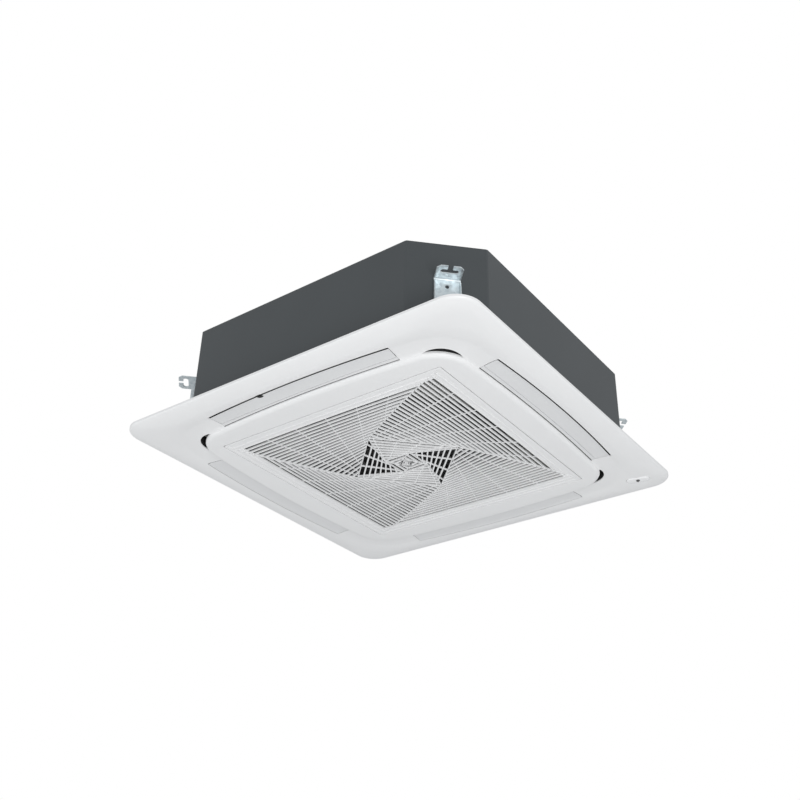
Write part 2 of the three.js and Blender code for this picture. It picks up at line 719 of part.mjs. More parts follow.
function drainPump() {
  const base = TROUGH_Z - PUMP_PIT_DEPTH + 4;
  const top = PUMP_SEAT + PUMP_HEIGHT;
  const body = turn([
    [0, base],
    [PUMP_INLET, base],
    [PUMP_INLET + 2, PUMP_SEAT - 6],
    [PUMP_RADIUS - 6, PUMP_SEAT - 3],
    [PUMP_RADIUS - 6, PUMP_SEAT],
    [PUMP_FLANGE, PUMP_SEAT],
    [PUMP_FLANGE, PUMP_SEAT + 3],
    [PUMP_RADIUS, PUMP_SEAT + 3],
    [PUMP_RADIUS, PUMP_SEAT + 45],
    [PUMP_RADIUS - 5, PUMP_SEAT + 50],
    [PUMP_RADIUS - 5, top],
    [0, top],
  ], 16);
  const elbow = bar('z', HOSE_RADIUS, top - 5, top + 4, 0, 0, 12);
  return body.add(elbow).translate([-PUMP_OFFSET, PUMP_OFFSET, 0]);
}

const HOSE_START = PUMP_SEAT + PUMP_HEIGHT + 4 + SEAT;
const SOCKET_INNER = -(LINER_IN - 2);

function drainHose() {
  const curve = new THREE.CatmullRomCurve3([
    new THREE.Vector3(-PUMP_OFFSET, PUMP_OFFSET, HOSE_START),
    new THREE.Vector3(-PUMP_OFFSET, PUMP_OFFSET, HOSE_START + 8),
    new THREE.Vector3(-PUMP_OFFSET - 24, (PUMP_OFFSET * 2 + DRAIN_Y) / 3, DRAIN_Z + 2),
    new THREE.Vector3(SOCKET_INNER + 26, DRAIN_Y, DRAIN_Z),
    new THREE.Vector3(SOCKET_INNER + 2 * SEAT, DRAIN_Y, DRAIN_Z),
  ]);
  return tube(curve, HOSE_RADIUS, 8, 8);
}

function drainSocket() {
  const end = -BODY_HALF - DRAIN_REACH;
  const barrel = bar('x', DRAIN_RADIUS, end, SOCKET_INNER, DRAIN_Y, DRAIN_Z, 14);
  const collar = bar('x', DRAIN_RADIUS + 8, -BODY_HALF - SEAT - 3, -BODY_HALF - SEAT, DRAIN_Y, DRAIN_Z, 14);
  const bead = bar('x', DRAIN_RADIUS + 1.2, end + 4, end + 8, DRAIN_Y, DRAIN_Z, 14);
  const bore = bar('x', DRAIN_BORE, end - 1, SOCKET_INNER - 6, DRAIN_Y, DRAIN_Z, 14);
  return unite([barrel, collar, bead]).subtract(bore);
}

function floatStem() {
  const seat = PUMP_SEAT;
  const rod = bar('z', STEM_RADIUS, TROUGH_Z + 3, seat + 2, FLOAT_X, FLOAT_Y, 12);
  const collar = bar('z', STEM_COLLAR, TROUGH_Z + 3, TROUGH_Z + 5, FLOAT_X, FLOAT_Y, 12);
  const arm = box(FLOAT_X - 7, FLOAT_X + 7, FLOAT_Y - 8, TROUGH_OUT + 8, seat, seat + 2.5);
  return unite([rod, collar, arm]);
}

function floatBody() {
  const z = TROUGH_Z + 5 + SEAT;
  return bar('z', FLOAT_RADIUS, z, z + FLOAT_HEIGHT, FLOAT_X, FLOAT_Y, 12)
    .subtract(bar('z', STEM_RADIUS + RUN, z - 1, z + FLOAT_HEIGHT + 1, FLOAT_X, FLOAT_Y, 12));
}

// A pipe from the coil's end plate, round one bend and out through the side.
function pipe(z, radius) {
  const start = COIL_CUT + COIL_PLATE + 2 * SEAT;
  const curve = new THREE.CurvePath();
  const bend = PIPE_Y - start;
  const corner = new THREE.Vector3(-COIL_OUT + radius + 2, PIPE_Y, z);
  const first = new THREE.Vector3(corner.x, start, z);
  const third = new THREE.Vector3(corner.x - bend, PIPE_Y, z);
  const end = new THREE.Vector3(-BODY_HALF - PIPE_REACH, PIPE_Y, z);
  curve.add(new THREE.QuadraticBezierCurve3(first, corner, third));
  curve.add(new THREE.LineCurve3(third, end));
  return tube(curve, radius, 8, 8);
}

function flareNut(z, radius) {
  const end = -BODY_HALF - PIPE_REACH;
  const nut = bar('x', radius * 1.75, end, end + NUT_LENGTH, PIPE_Y, z, 6);
  const cone = bar('x', radius * 1.35, end + NUT_LENGTH - 1, end + NUT_LENGTH * 1.5, PIPE_Y, z, 12);
  return nut.add(cone).subtract(bar('x', radius + RUN, end - 1, end + NUT_LENGTH * 2, PIPE_Y, z, 12));
}

function pipePlate() {
  const [x0, x1] = [-BODY_HALF - SEAT - SHEET, -BODY_HALF - SEAT];
  const margin = 24;
  const top = Math.min(LIQUID_Z + margin, DRAIN_Z - DRAIN_RADIUS - 9);
  return holesInWall().reduce(
    (body, hole) => body.subtract(hole),
    box(x0, x1, PIPE_Y - margin, PIPE_Y + margin, GAS_Z - margin, top),
  );
}

// ---- Hangers ------------------------------------------------------------------------------

// Built on the cut corner that faces +X: x is out from the corner, y along it.
function hanger() {
  const half = HANGER_WIDTH / 2;
  const foot = CHAMFER_FACE + SEAT;
  const tip = CHAMFER_FACE + HANGER_REACH;
  const slot = HANGER_SLOT_WIDTH / 2;
  const run = HANGER_SLOT_LENGTH / 2 - slot;
  const centre = CHAMFER_FACE + HANGER_SLOT_OUT;
  const outline = polygon([
    [foot, -half], [tip - HANGER_CLIP, -half], [tip, -half + HANGER_CLIP],
    [tip, half - HANGER_CLIP], [tip - HANGER_CLIP, half], [foot, half],
  ]);
  const top = HANGER_EAR_Z + HANGER_SHEET;
  const opening = new THREE.Shape();
  opening.absarc(centre, run, slot, 0, 2 * QUARTER, false);
  opening.absarc(centre, -run, slot, 2 * QUARTER, 4 * QUARTER, false);
  const cut = raise(opening, HANGER_EAR_Z - 1, top + 1, 5);
  const throat = box(centre, tip + 1, -HANGER_THROAT / 2, HANGER_THROAT / 2, HANGER_EAR_Z - 1, top + 1);
  const ear = raise(outline, HANGER_EAR_Z, top).subtract(cut).subtract(throat);
  const web = box(foot, foot + HANGER_SHEET, -half, half, HANGER_FOOT_Z, top);
  const rails = [-half, half - HANGER_SHEET].map((y) => (
    box(foot, foot + HANGER_FLANGE, y, y + HANGER_SHEET, HANGER_FOOT_Z, top)
  ));
  return unite([ear, web, ...rails]);
}

// ---- Panel --------------------------------------------------------------------------------

// The panel's section, from the back of its rim, round its face, to the wall of the opening
// and back along its hidden side. Each row is half size, corner radius, height and bulge.
function panelFrame() {
  const corner = RING_OUT - RING_CORNER;
  const ringLoop = (half, z) => loop(half, Math.max(half - corner, 2), z, SIDE_BOW);
  const face = [
    loop(PANEL_HALF, PANEL_CORNER, 0, 0),
    loop(PANEL_HALF, PANEL_CORNER, -RIM_EDGE, 0),
    loop(PANEL_HALF - RIM_ROUND, PANEL_CORNER - RIM_ROUND, -RIM_EDGE - RIM_ROUND * 0.8, 0),
    loop(PANEL_HALF - RIM_CREST, PANEL_CORNER, -RIM_DROP, 0),
    loop(CREASE, CREASE_CORNER, -CREASE_DROP, FLAP_BOW / 3),
    loop(SLOT_OUT, CREASE_CORNER - 10, -CREASE_DROP, FLAP_BOW),
    loop(CHANNEL_MID, CREASE_CORNER - 22, -CREASE_DROP + CHANNEL_RISE, (FLAP_BOW + SIDE_BOW) / 2),
    ringLoop(CHANNEL_INNER, -CHANNEL_INNER_DROP),
    ringLoop(RING_OUT, -CHANNEL_INNER_DROP - 1),
    ringLoop(RING_OUT - 2, -FACE_DROP + RING_ROLL * 0.3),
    ringLoop(RING_OUT - RING_ROLL * 1.2, -FACE_DROP),
    loop(GRILLE_OPENING, LIP_CORNER, -FACE_DROP, 0),
    loop(GRILLE_OPENING, LIP_CORNER, -FACE_DROP + LIP_HEIGHT, 0),
  ];
  const back = [
    loop(GRILLE_OPENING + SKIN, LIP_CORNER + SKIN, -FACE_DROP + LIP_HEIGHT, 0),
    loop(GRILLE_OPENING + SKIN, LIP_CORNER + SKIN, -FACE_DROP + SKIN, 0),
    ringLoop(RING_OUT - RING_ROLL * 1.2, -FACE_DROP + SKIN),
    ringLoop(RING_OUT - 1 - SKIN, -CHANNEL_INNER_DROP + SKIN),
    loop(CHANNEL_MID, CREASE_CORNER - 22, -CREASE_DROP + CHANNEL_RISE + SKIN, (FLAP_BOW + SIDE_BOW) / 2),
    loop(CREASE, CREASE_CORNER, -CREASE_DROP + SKIN, FLAP_BOW / 3),
    loop(PANEL_HALF - RIM_CREST, PANEL_CORNER - SKIN, -RIM_DROP + SKIN * 1.5, 0),
    loop(PANEL_HALF - RIM_ROUND * 2, PANEL_CORNER - RIM_ROUND * 2, -RIM_EDGE, 0),
    loop(PANEL_HALF - RIM_ROUND * 2, PANEL_CORNER - RIM_ROUND * 2, 0, 0),
  ];
  let body = loft([...face, ...back], true);
  const slot = raise(slotOutline(0), -FACE_DROP - 5, 5);
  const crescent = raise(crescentOutline(), -FACE_DROP - 5, 5, 6);
  for (let q = 0; q < 4; q++) {
    body = body.subtract(slot.rotate([0, 0, 90 * q])).subtract(crescent.rotate([0, 0, 90 * q]));
  }
  const edge = SLOT_OUT + FLAP_BOW;
  const notch = box(
    NOTCH_AT - NOTCH_LENGTH / 2, NOTCH_AT + NOTCH_LENGTH / 2,
    -edge - NOTCH_DEPTH + 1, -edge + 5, -FACE_DROP, 5,
  );
  const pins = bar('x', HINGE_PIN + RUN, -GRILLE_OPENING - 6, GRILLE_OPENING + 6, HINGE_Y, HINGE_Z, 12);
  const window = raise(receiverOutline(RUN), -FACE_DROP - 5, 5, 5);
  return body.subtract(notch).subtract(pins).subtract(placeReceiver(window));
}

// An outlet in plan, on the front side. Both long edges bulge and the short ends slant.
function slotOutline(grow) {
  const outer = FLAP_HALF + FLAP_GAP + grow;
  const inner = outer - FLAP_SLANT;
  return bandOutline(SLOT_IN - grow, SIDE_BOW, inner, SLOT_OUT + grow, FLAP_BOW, outer);
}

function bandOutline(rIn, bowIn, halfIn, rOut, bowOut, halfOut) {
  const steps = 6;
  const points = [];
  for (let i = 0; i <= steps; i++) {
    const t = halfOut * ((2 * i) / steps - 1);
    points.push([t, -rOut - bulge(bowOut, t, halfOut)]);
  }
  for (let i = steps; i >= 0; i--) {
    const t = halfIn * ((2 * i) / steps - 1);
    points.push([t, -rIn - bulge(bowIn, t, halfIn)]);
  }
  return polygon(points);
}

// A corner outlet in plan, at the corner +X, -Y: a crescent hugging the ring's round corner.
function crescentOutline() {
  const centre = RING_OUT - RING_CORNER;
  const inner = RING_CORNER + SEAT;
  const reach = RING_CORNER + CRESCENT_REACH;
  const span = THREE.MathUtils.degToRad(CRESCENT_SPAN);
  // The outer arc passes through the crescent's tips and its widest point.
  const [tipX, tipY] = [inner * Math.cos(span), inner * Math.sin(span)];
  const shift = (reach ** 2 - inner ** 2) / (2 * (reach - tipX));
  const radius = reach - shift;
  const sweep = Math.atan2(tipY, tipX - shift);
  const shape = new THREE.Shape();
  const along = -QUARTER / 2;
  const [x, y] = [centre + shift * Math.cos(along), -centre + shift * Math.sin(along)];
  shape.absarc(x, y, radius, along - sweep, along + sweep, false);
  shape.absarc(centre, -centre, inner, along + span, along - span, true);
  return shape;
}

// A foam duct from an outlet of the panel up to the pan, on the front side.
function outletDuct() {
  const base = -CREASE_DROP + CHANNEL_RISE + SKIN + SEAT;
  const outer = raise(slotOutline(FLAP_GAP + DUCT_WALL), base, DUCT_TOP);
  const inner = raise(slotOutline(FLAP_GAP), base - 1, DUCT_TOP + 1);
  const wide = FLAP_HALF + 40;
  const pin = bar('x', PIVOT_RADIUS + RUN, -wide, wide, -PIVOT_R, -PIVOT_DROP, 12);
  const key = box(-wide, wide, -PIVOT_R - PIVOT_RADIUS - RUN, -PIVOT_R + PIVOT_RADIUS + RUN, base - 1, -PIVOT_DROP);
  return outer.subtract(inner).subtract(pin).subtract(key);
}

// ---- Flaps --------------------------------------------------------------------------------

// Depth of the channel's surface at radius r, along the front side at t.
function channelDepth(r, t) {
  const span = FLAP_HALF;
  const out = SLOT_OUT + bulge(FLAP_BOW, t, span);
  const mid = CHANNEL_MID + bulge((FLAP_BOW + SIDE_BOW) / 2, t, span);
  const inn = CHANNEL_INNER + bulge(SIDE_BOW, t, span);
  if (r > mid) return THREE.MathUtils.lerp(CREASE_DROP - CHANNEL_RISE, CREASE_DROP, (r - mid) / (out - mid));
  return THREE.MathUtils.lerp(CHANNEL_INNER_DROP, CREASE_DROP - CHANNEL_RISE, (r - inn) / (mid - inn));
}

function flap() {
  const stations = 6;
  const loops = [];
  for (let i = 0; i <= stations; i++) {
    const share = (2 * i) / stations - 1;
    const [tOut, tIn] = [FLAP_HALF * share, (FLAP_HALF - FLAP_SLANT) * share];
    const rOut = FLAP_OUT + bulge(FLAP_BOW, tOut, FLAP_HALF);
    const rIn = FLAP_IN + bulge(SIDE_BOW, tIn, FLAP_HALF - FLAP_SLANT);
    const lower = [];
    const upper = [];
    for (const u of [0, 0.5, 1]) {
      const r = THREE.MathUtils.lerp(rIn, rOut, u);
      const t = THREE.MathUtils.lerp(tIn, tOut, u);
      const z = -channelDepth(r, t);
      lower.push([t, -r, z]);
      upper.unshift([t, -r, z + FLAP_SKIN]);
    }
    loops.push([...lower, ...upper]);
  }
  const blade = loft(loops, false);
  const end = FLAP_HALF - FLAP_SLANT;
  const parts = [blade];
  for (const side of [-1, 1]) {
    const [a, b] = side > 0 ? [end - WEB_THICK, end] : [-end, -end + WEB_THICK];
    const [c, d] = side > 0 ? [end - WEB_THICK, end + PIVOT_LENGTH] : [-end - PIVOT_LENGTH, -end + WEB_THICK];
    parts.push(box(a, b, -PIVOT_R - PIVOT_WEB, -PIVOT_R + PIVOT_WEB, -channelDepth(PIVOT_R, end) + 1, -PIVOT_DROP + PIVOT_WEB));
    parts.push(bar('x', PIVOT_RADIUS, c, d, -PIVOT_R, -PIVOT_DROP, 10));
  }
  return unite(parts);
}

// The small geared motor at the flap's end. Its output stands below its centre.
function stepper() {
  const start = FLAP_HALF + FLAP_GAP * 2 + DUCT_WALL + SEAT;
  const z = -PIVOT_DROP + STEPPER_OFFSET;
  const can = bar('x', STEPPER_RADIUS, start, start + STEPPER_LENGTH, -PIVOT_R, z, 14);
  const tab = box(start, start + 2, -PIVOT_R - STEPPER_RADIUS - 4, -PIVOT_R + STEPPER_RADIUS + 4, z - 3, z + 4);
  const end = FLAP_HALF - FLAP_SLANT + PIVOT_LENGTH + SEAT;
  return can.add(tab).subtract(bar('x', PIVOT_RADIUS + RUN, start - 1, end, -PIVOT_R, -PIVOT_DROP, 12));
}

// ---- Intake grille ------------------------------------------------------------------------

const HINGE_Y = GRILLE_HALF - HINGE_INSET;
const HINGE_Z = -FACE_DROP + HINGE_LIFT;
const FIELD_HALF = GRILLE_HALF - GRILLE_BORDER;

// The seam between two sectors of the whirl: from the square's corner to the corner of the
// next square, which stands on its tip. The share runs from 0 to 1 along it.
function seamPoint(half, share) {
  const inner = half * WHIRL_RATIO * Math.SQRT2;
  return new THREE.Vector2(-half + (half - inner) * share ** SEAM_CURL, -half + half * share);
}

function seamPoints(half) {
  const points = [];
  for (let i = 0; i <= SEAM_STEPS; i++) points.push(seamPoint(half, i / SEAM_STEPS));
  return points;
}

// The front sector in plan: the square's side, a seam, the inner square's side and the seam of
// the next sector, which is the first one turned by a quarter.
function sectorOutline(half) {
  const left = seamPoints(half);
  const right = left.map((p) => new THREE.Vector2(-p.y, p.x));
  return new THREE.Shape([...left.reverse(), ...right]);
}

// A bar in plan that follows a line of points, with cut ends.
function strip(line, thick, z0, z1) {
  const left = [];
  const right = [];
  line.forEach((point, i) => {
    const from = line[Math.max(i - 1, 0)];
    const to = line[Math.min(i + 1, line.length - 1)];
    const side = new THREE.Vector2(from.y - to.y, to.x - from.x).setLength(thick / 2);
    left.push(point.clone().add(side));
    right.push(point.clone().sub(side));
  });
  return raise(new THREE.Shape([...right, ...left.reverse()]), z0, z1);
}

// Everything on the left of a line, pushed to the left by an offset.
function leftOf(start, angle, offset, z0, z1) {
  const big = GRILLE_HALF * 4;
  const corners = [[-big, offset], [big, offset], [big, offset + big], [-big, offset + big]];
  const shape = polygon(corners.map(([x, y]) => {
    const [u, v] = turned(x, y, angle);
    return [start.x + u, start.y + v];
  }));
  return raise(shape, z0, z1);
}

// The gaps of one sector. Each slat starts on the seam and turns further the nearer it lies to
// the inner square, whose side it follows in the end. Ribs across the slats tie them together.
function whirlGaps(half, ribs, z0, z1) {
  const count = Math.round(half / SLAT_PITCH);
  const inner = half * WHIRL_RATIO * Math.SQRT2;
  const region = raise(sectorOutline(half), z0, z1);
  const beyond = (i, offset) => {
    const angle = -THREE.MathUtils.degToRad(WHIRL_START) * Math.exp((WHIRL_GROWTH * i) / count);
    return leftOf(seamPoint(half, i / count), angle, offset, z0 - 1, z1 + 1);
  };
  const bars = [strip(seamPoints(half), RIB_THICK, z0 - 1, z1 + 1)];
  bars.push(bars[0].rotate([0, 0, 90]));
  bars.push(strip([new THREE.Vector2(-inner, 0), new THREE.Vector2(0, -inner)], RIB_THICK, z0 - 1, z1 + 1));
  for (let i = 1; i <= ribs; i++) {
    const share = i / (ribs + 1);
    const foot = new THREE.Vector2(half * (2 * share - 1), -half - 1);
    const head = new THREE.Vector2(-inner * (1 - share), -inner * share);
    bars.push(strip([foot, head], RIB_THICK, z0 - 1, z1 + 1));
  }
  const gaps = [];
  for (let i = 0; i < count; i++) {
    let gap = i > 0 ? region.intersect(beyond(i, SLAT_THICK / 2)) : region;
    if (i < count - 1) gap = gap.subtract(beyond(i + 1, -SLAT_THICK / 2));
    gaps.push(bars.reduce((rest, bar) => rest.subtract(bar), gap));
  }
  return unite(gaps);
}

function intakeGrille() {
  const z0 = -FACE_DROP;
  const z1 = GRILLE_BACK;
  let body = raise(roundedSquare(GRILLE_HALF, GRILLE_CORNER), z0, z1, 2);
  WHIRL_RIBS.forEach((ribs, level) => {
    const gaps = whirlGaps(FIELD_HALF * WHIRL_RATIO ** level, ribs, z0 - 1, z1 + 1);
    for (let q = 0; q < 4; q++) body = body.subtract(gaps.rotate([0, 0, 90 * q - 45 * level]));
  });
  const parts = [body];
  for (const side of [-1, 1]) {
    const [a, b] = [GRILLE_HALF - 3, GRILLE_HALF + HINGE_PIN_LENGTH];
    parts.push(bar('x', HINGE_PIN, side > 0 ? a : -b, side > 0 ? b : -a, HINGE_Y, HINGE_Z, 12));
    for (const edge of [-1, 1]) {
      const x = side * LATCH_X + edge * (LATCH_WIDTH / 2 + RUN + RAIL_THICK / 2);
      const [y0, y1] = [-GRILLE_HALF + 1, -GRILLE_HALF + LATCH_LENGTH + LATCH_TRAVEL + 1];
      parts.push(box(x - RAIL_THICK / 2, x + RAIL_THICK / 2, y0, y1, z1 - 1, z1 + LATCH_THICK));
    }
  }
  return unite(parts);
}

function filterFrame() {
  const [z0, z1] = [GRILLE_BACK + SEAT, GRILLE_BACK + SEAT + FILTER_THICK];
  const cell = (2 * FILTER_HALF - FILTER_BAR) / FILTER_CELLS;
  let body = box(-FILTER_HALF, FILTER_HALF, -FILTER_HALF, FILTER_HALF, z0, z1);
  for (let i = 0; i < FILTER_CELLS; i++) {
    for (let j = 0; j < FILTER_CELLS; j++) {
      const [x0, y0] = [-FILTER_HALF + FILTER_BAR + cell * i, -FILTER_HALF + FILTER_BAR + cell * j];
      const size = cell - FILTER_BAR;
      body = body.subtract(box(x0, x0 + size, y0, y0 + size, z0 - 1, z1 + 1));
    }
  }
  return body;
}

function filterNet() {
  const z = GRILLE_BACK + SEAT + FILTER_THICK + SEAT;
  const half = FILTER_HALF - 2;
  return box(-half, half, -half, half, z, z + NET_THICK);
}

function latch(side) {
  const x = side * LATCH_X;
  const z = GRILLE_BACK + SEAT;
  const back = -GRILLE_HALF + LATCH_LENGTH;
  const half = LATCH_WIDTH / 2;
  const nose = GRILLE_OPENING - SEAT;
  const shape = polygon([
    [x - half, back], [x - half, -GRILLE_HALF + 1], [x - LATCH_NOSE, -GRILLE_HALF + 1],
    [x - LATCH_NOSE / 2, -nose], [x + LATCH_NOSE / 2, -nose], [x + LATCH_NOSE, -GRILLE_HALF + 1],
    [x + half, -GRILLE_HALF + 1], [x + half, back],
  ]);
  return raise(shape, z, z + LATCH_THICK - SEAT);
}

// ---- Receiver, seal and control box -------------------------------------------------------

function receiverOutline(grow) {
  const radius = RECEIVER_WIDTH / 2 + grow;
  const run = RECEIVER_LENGTH / 2 - RECEIVER_WIDTH / 2;
  const shape = new THREE.Shape();
  shape.absarc(run, 0, radius, -QUARTER, QUARTER, false);
  shape.absarc(-run, 0, radius, QUARTER, 3 * QUARTER, false);
  return shape;
}

function placeReceiver(body) {
  return body.rotate([0, 0, RECEIVER_TURN]).translate([RECEIVER_X, RECEIVER_Y, 0]);
}

function receiverPlate() {
  const plate = raise(receiverOutline(0), -RECEIVER_DROP, -RECEIVER_DROP + RECEIVER_DEPTH, 5);
  const hole = bar('z', LENS_RADIUS + RUN, -RECEIVER_DROP - 1, -RECEIVER_DROP + RECEIVER_DEPTH - 2, 0, 0);
  return placeReceiver(plate.subtract(hole));
}

function receiverLens() {
  const top = -RECEIVER_DROP + RECEIVER_DEPTH - 2 - SEAT;
  return placeReceiver(bar('z', LENS_RADIUS, -RECEIVER_DROP - LENS_PROUD, top, 0, 0));
}

const BOX_TOP = PAN_BASE - SEAT;

// A tray, open downwards, screwed under the pan beside the bell mouth.
function controlBox() {
  const outer = box(-BOX_LENGTH / 2, BOX_LENGTH / 2, -BOX_INSET - BOX_WIDTH, -BOX_INSET, BOX_TOP - BOX_DEPTH, BOX_TOP);
  const wall = BOX_SHEET;
  return outer.subtract(box(
    -BOX_LENGTH / 2 + wall, BOX_LENGTH / 2 - wall,
    -BOX_INSET - BOX_WIDTH + wall, -BOX_INSET - wall,
    BOX_TOP - BOX_DEPTH - 1, BOX_TOP - wall,
  ));
}

function controlLid() {
  const top = BOX_TOP - BOX_DEPTH - SEAT;
  return box(-BOX_LENGTH / 2, BOX_LENGTH / 2, -BOX_INSET - BOX_WIDTH, -BOX_INSET, top - BOX_SHEET, top);
}

function controlBoard() {
  const wall = BOX_SHEET + SEAT;
  const z = BOX_TOP - BOX_SHEET - BOARD_GAP;
  const board = box(
    -BOX_LENGTH / 2 + wall, BOX_LENGTH / 2 - wall,
    -BOX_INSET - BOX_WIDTH + wall, -BOX_INSET - wall, z - BOARD_THICK, z,
  );
  const y = -BOX_INSET - BOX_WIDTH / 2;
  const relays = [-0.3, -0.1, 0.15].map((share) => (
    box(BOX_LENGTH * share - 14, BOX_LENGTH * share + 14, y - 9, y + 9, z - BOARD_THICK - 12, z)
  ));
  return unite([board, ...relays]);
}

// ---- Assembly -----------------------------------------------------------------------------

piece('cabinet_shell', cabinetShell(), DARK_STEEL);
piece('top_plate', topPlate(), DARK_STEEL);
piece('insulation_liner', liner(), FOAM);
piece('drain_pan', drainPan(), FOAM);
piece('coil', raise(coilOutline(), COIL_BASE, COIL_TOP, 5), FIN);

const endPlate = coilEnd();
piece('coil_end_left', endPlate, COPPER);
piece('coil_end_back', endPlate.mirror([1, 1, 0]), COPPER);

piece('bell_mouth', bellMouth(), BLACK);
piece('turbo_fan', turboFan(), GREY);
piece('fan_motor', fanMotor(), STEEL);
piece('motor_shaft', motorShaft(), STEEL);
piece('fan_nut', fanNut(), STEEL);
for (let q = 0; q < 4; q++) piece(`motor_mount_${q + 1}`, motorMount(q), BLACK);

piece('drain_pump', drainPump(), SOFT_WHITE);
piece('drain_hose', drainHose(), GREY);
piece('drain_socket', drainSocket(), GREY);
piece('float_stem', floatStem(), SOFT_WHITE);
piece('float', floatBody(), BLACK);
piece('gas_pipe', pipe(GAS_Z, GAS_RADIUS), COPPER);
piece('liquid_pipe', pipe(LIQUID_Z, LIQUID_RADIUS), COPPER);
piece('gas_flare_nut', flareNut(GAS_Z, GAS_RADIUS), BRASS);
piece('liquid_flare_nut', flareNut(LIQUID_Z, LIQUID_RADIUS), BRASS);
piece('pipe_plate', pipePlate(), ZINC);

const CORNERS = ['right_back', 'left_back', 'left_front', 'right_front'];
CORNERS.forEach((corner, q) => {
  const mesh = piece(`hanger_${corner}`, hanger(), ZINC);
  mesh.rotation.z = QUARTER * (q + 0.5);
});

piece('panel_frame', panelFrame(), WHITE);
const SIDES = ['front', 'right', 'back', 'left'];
SIDES.forEach((side, q) => {
  piece(`outlet_duct_${side}`, outletDuct(), DARK_FOAM, q);
  piece(`flap_${side}`, flap(), SOFT_WHITE, q);
  piece(`flap_motor_${side}`, stepper(), STEEL, q);
});

piece('intake_grille', intakeGrille(), WHITE);
piece('filter_frame', filterFrame(), BLACK);
piece('filter_net', filterNet(), BLACK);
piece('grille_latch_left', latch(-1), SOFT_WHITE);
piece('grille_latch_right', latch(1), SOFT_WHITE);

piece('receiver_plate', receiverPlate(), WHITE);
piece('receiver_lens', receiverLens(), GLASS);
piece('control_box', controlBox(), ZINC);
piece('control_lid', controlLid(), ZINC);
piece('control_board', controlBoard(), GREEN);

export default group;
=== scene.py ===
"""A four-way ceiling cassette air conditioner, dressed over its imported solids.

Lengths are in millimetres while a piece is drawn and in metres once it is an object. The origin
is the centre of the unit on the ceiling plane, +Z up, and -Y is the front.
"""

import json
import logging
import math
from collections.abc import Callable, Iterable, Sequence
from dataclasses import dataclass
from enum import Enum

import bmesh
import bpy
from mathutils import Matrix, Vector


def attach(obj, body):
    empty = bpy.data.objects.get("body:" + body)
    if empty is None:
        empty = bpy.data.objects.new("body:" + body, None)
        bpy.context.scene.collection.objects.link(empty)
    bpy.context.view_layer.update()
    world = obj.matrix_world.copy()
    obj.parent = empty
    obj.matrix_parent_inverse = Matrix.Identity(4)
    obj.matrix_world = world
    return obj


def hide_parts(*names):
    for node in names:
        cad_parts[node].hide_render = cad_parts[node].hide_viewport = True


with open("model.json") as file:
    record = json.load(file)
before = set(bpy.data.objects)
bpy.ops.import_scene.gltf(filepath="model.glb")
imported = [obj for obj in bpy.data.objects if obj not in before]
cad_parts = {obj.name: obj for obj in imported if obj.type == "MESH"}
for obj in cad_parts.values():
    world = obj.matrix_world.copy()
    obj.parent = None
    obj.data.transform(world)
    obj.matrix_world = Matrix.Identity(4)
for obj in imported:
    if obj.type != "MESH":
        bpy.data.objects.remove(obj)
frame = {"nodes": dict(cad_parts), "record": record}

log = logging.getLogger("cassette")
MM = 0.001
QUARTER = math.pi / 2
SHARP = 32.0  # Degrees between two faces above which their edge stays sharp.
SHARP_BENT = 35.0  # The same on a piece with rounded edges.
ON_AXIS = 0.01  # Smallest radius of a turned piece, so that its tip stays a ring of faces.

Point = tuple[float, float, float]
Flat = tuple[float, float]
Row = tuple[float, ...]


# ---- Sizes --------------------------------------------------------------------------------


@dataclass(frozen=True)
class PanelSizes:
    """The panel's section, as half sizes and depths below the ceiling plane.

    The rim runs over a crest down to a crease. The outlet channel lies between the crease and
    the raised ring, and the ring's flat face ends at the grille's opening.

    Attributes:
        ring_root: Where the channel meets the ring.
        ring_round: Radius of the ring's outer edge.
        ring_step: Height of the small step at the ring's foot.
        side_bow: How far the middle of each side of the ring stands out.
        lean: Each side's share of that bulge: front, right, back, left.
        groove: Start and end of the parting groove, outward from the ring.
        groove_end: Width of the short grooves that carry on an outlet's ends.
        groove_floor: Height of the floor of those grooves.
        shade_band: Heights between which a dark fill, painted shade, lies in the parting groove.
        outlet_reach: Width of a corner outlet at its middle.
        outlet_span: Half its angle as seen from the centre of the ring's corner, in degrees.
        hinge: Place of the grille's hinge line in Y and Z.
        hinge_hole: Radius of the holes for the hinge's pins.
    """

    half: float = 475.0
    corner: float = 57.0
    edge: float = 5.0
    crest: float = 452.0
    crest_drop: float = 15.0
    crease: float = 431.0
    crease_corner: float = 115.0
    crease_drop: float = 18.5
    channel_rise: float = 3.0
    ring: float = 358.5
    ring_corner: float = 85.7
    ring_root: float = 362.0
    ring_round: float = 11.0
    ring_step: float = 0.8
    face: float = 26.0
    opening: float = 306.0
    lip: float = 12.0
    skin: float = 2.4
    side_bow: float = 11.0
    lean: tuple[float, float, float, float] = (1.0, 0.78, 1.0, 1.22)
    groove: Flat = (0.6, 3.3)
    groove_end: float = 1.3
    groove_floor: float = -15.2
    shade_band: Flat = (-16.4, -13.6)
    outlet_reach: float = 13.0
    outlet_span: float = 30.0
    hinge: Flat = (300.0, -23.5)
    hinge_hole: float = 1.85


@dataclass(frozen=True)
class ReceiverSizes:
    """The receiver's window, an oblong in plan, with its eye and a small dot beside it.

    Attributes:
        turn: Angle of the oblong, in degrees.
        run: Distance of its round ends from the middle.
        gap: Clearance round it in the moulding.
        dot_away: Distance of the dot from the middle.
    """

    x: float = 408.4
    y: float = 398.2
    turn: float = 14.0
    radius: float = 12.0
    run: float = 16.0
    low: float = -19.6
    high: float = -11.5
    gap: float = 0.9
    hole: float = 4.9
    hole_floor: float = -13.4
    dot: float = 1.5
    dot_floor: float = -18.4
    dot_away: float = 22.5


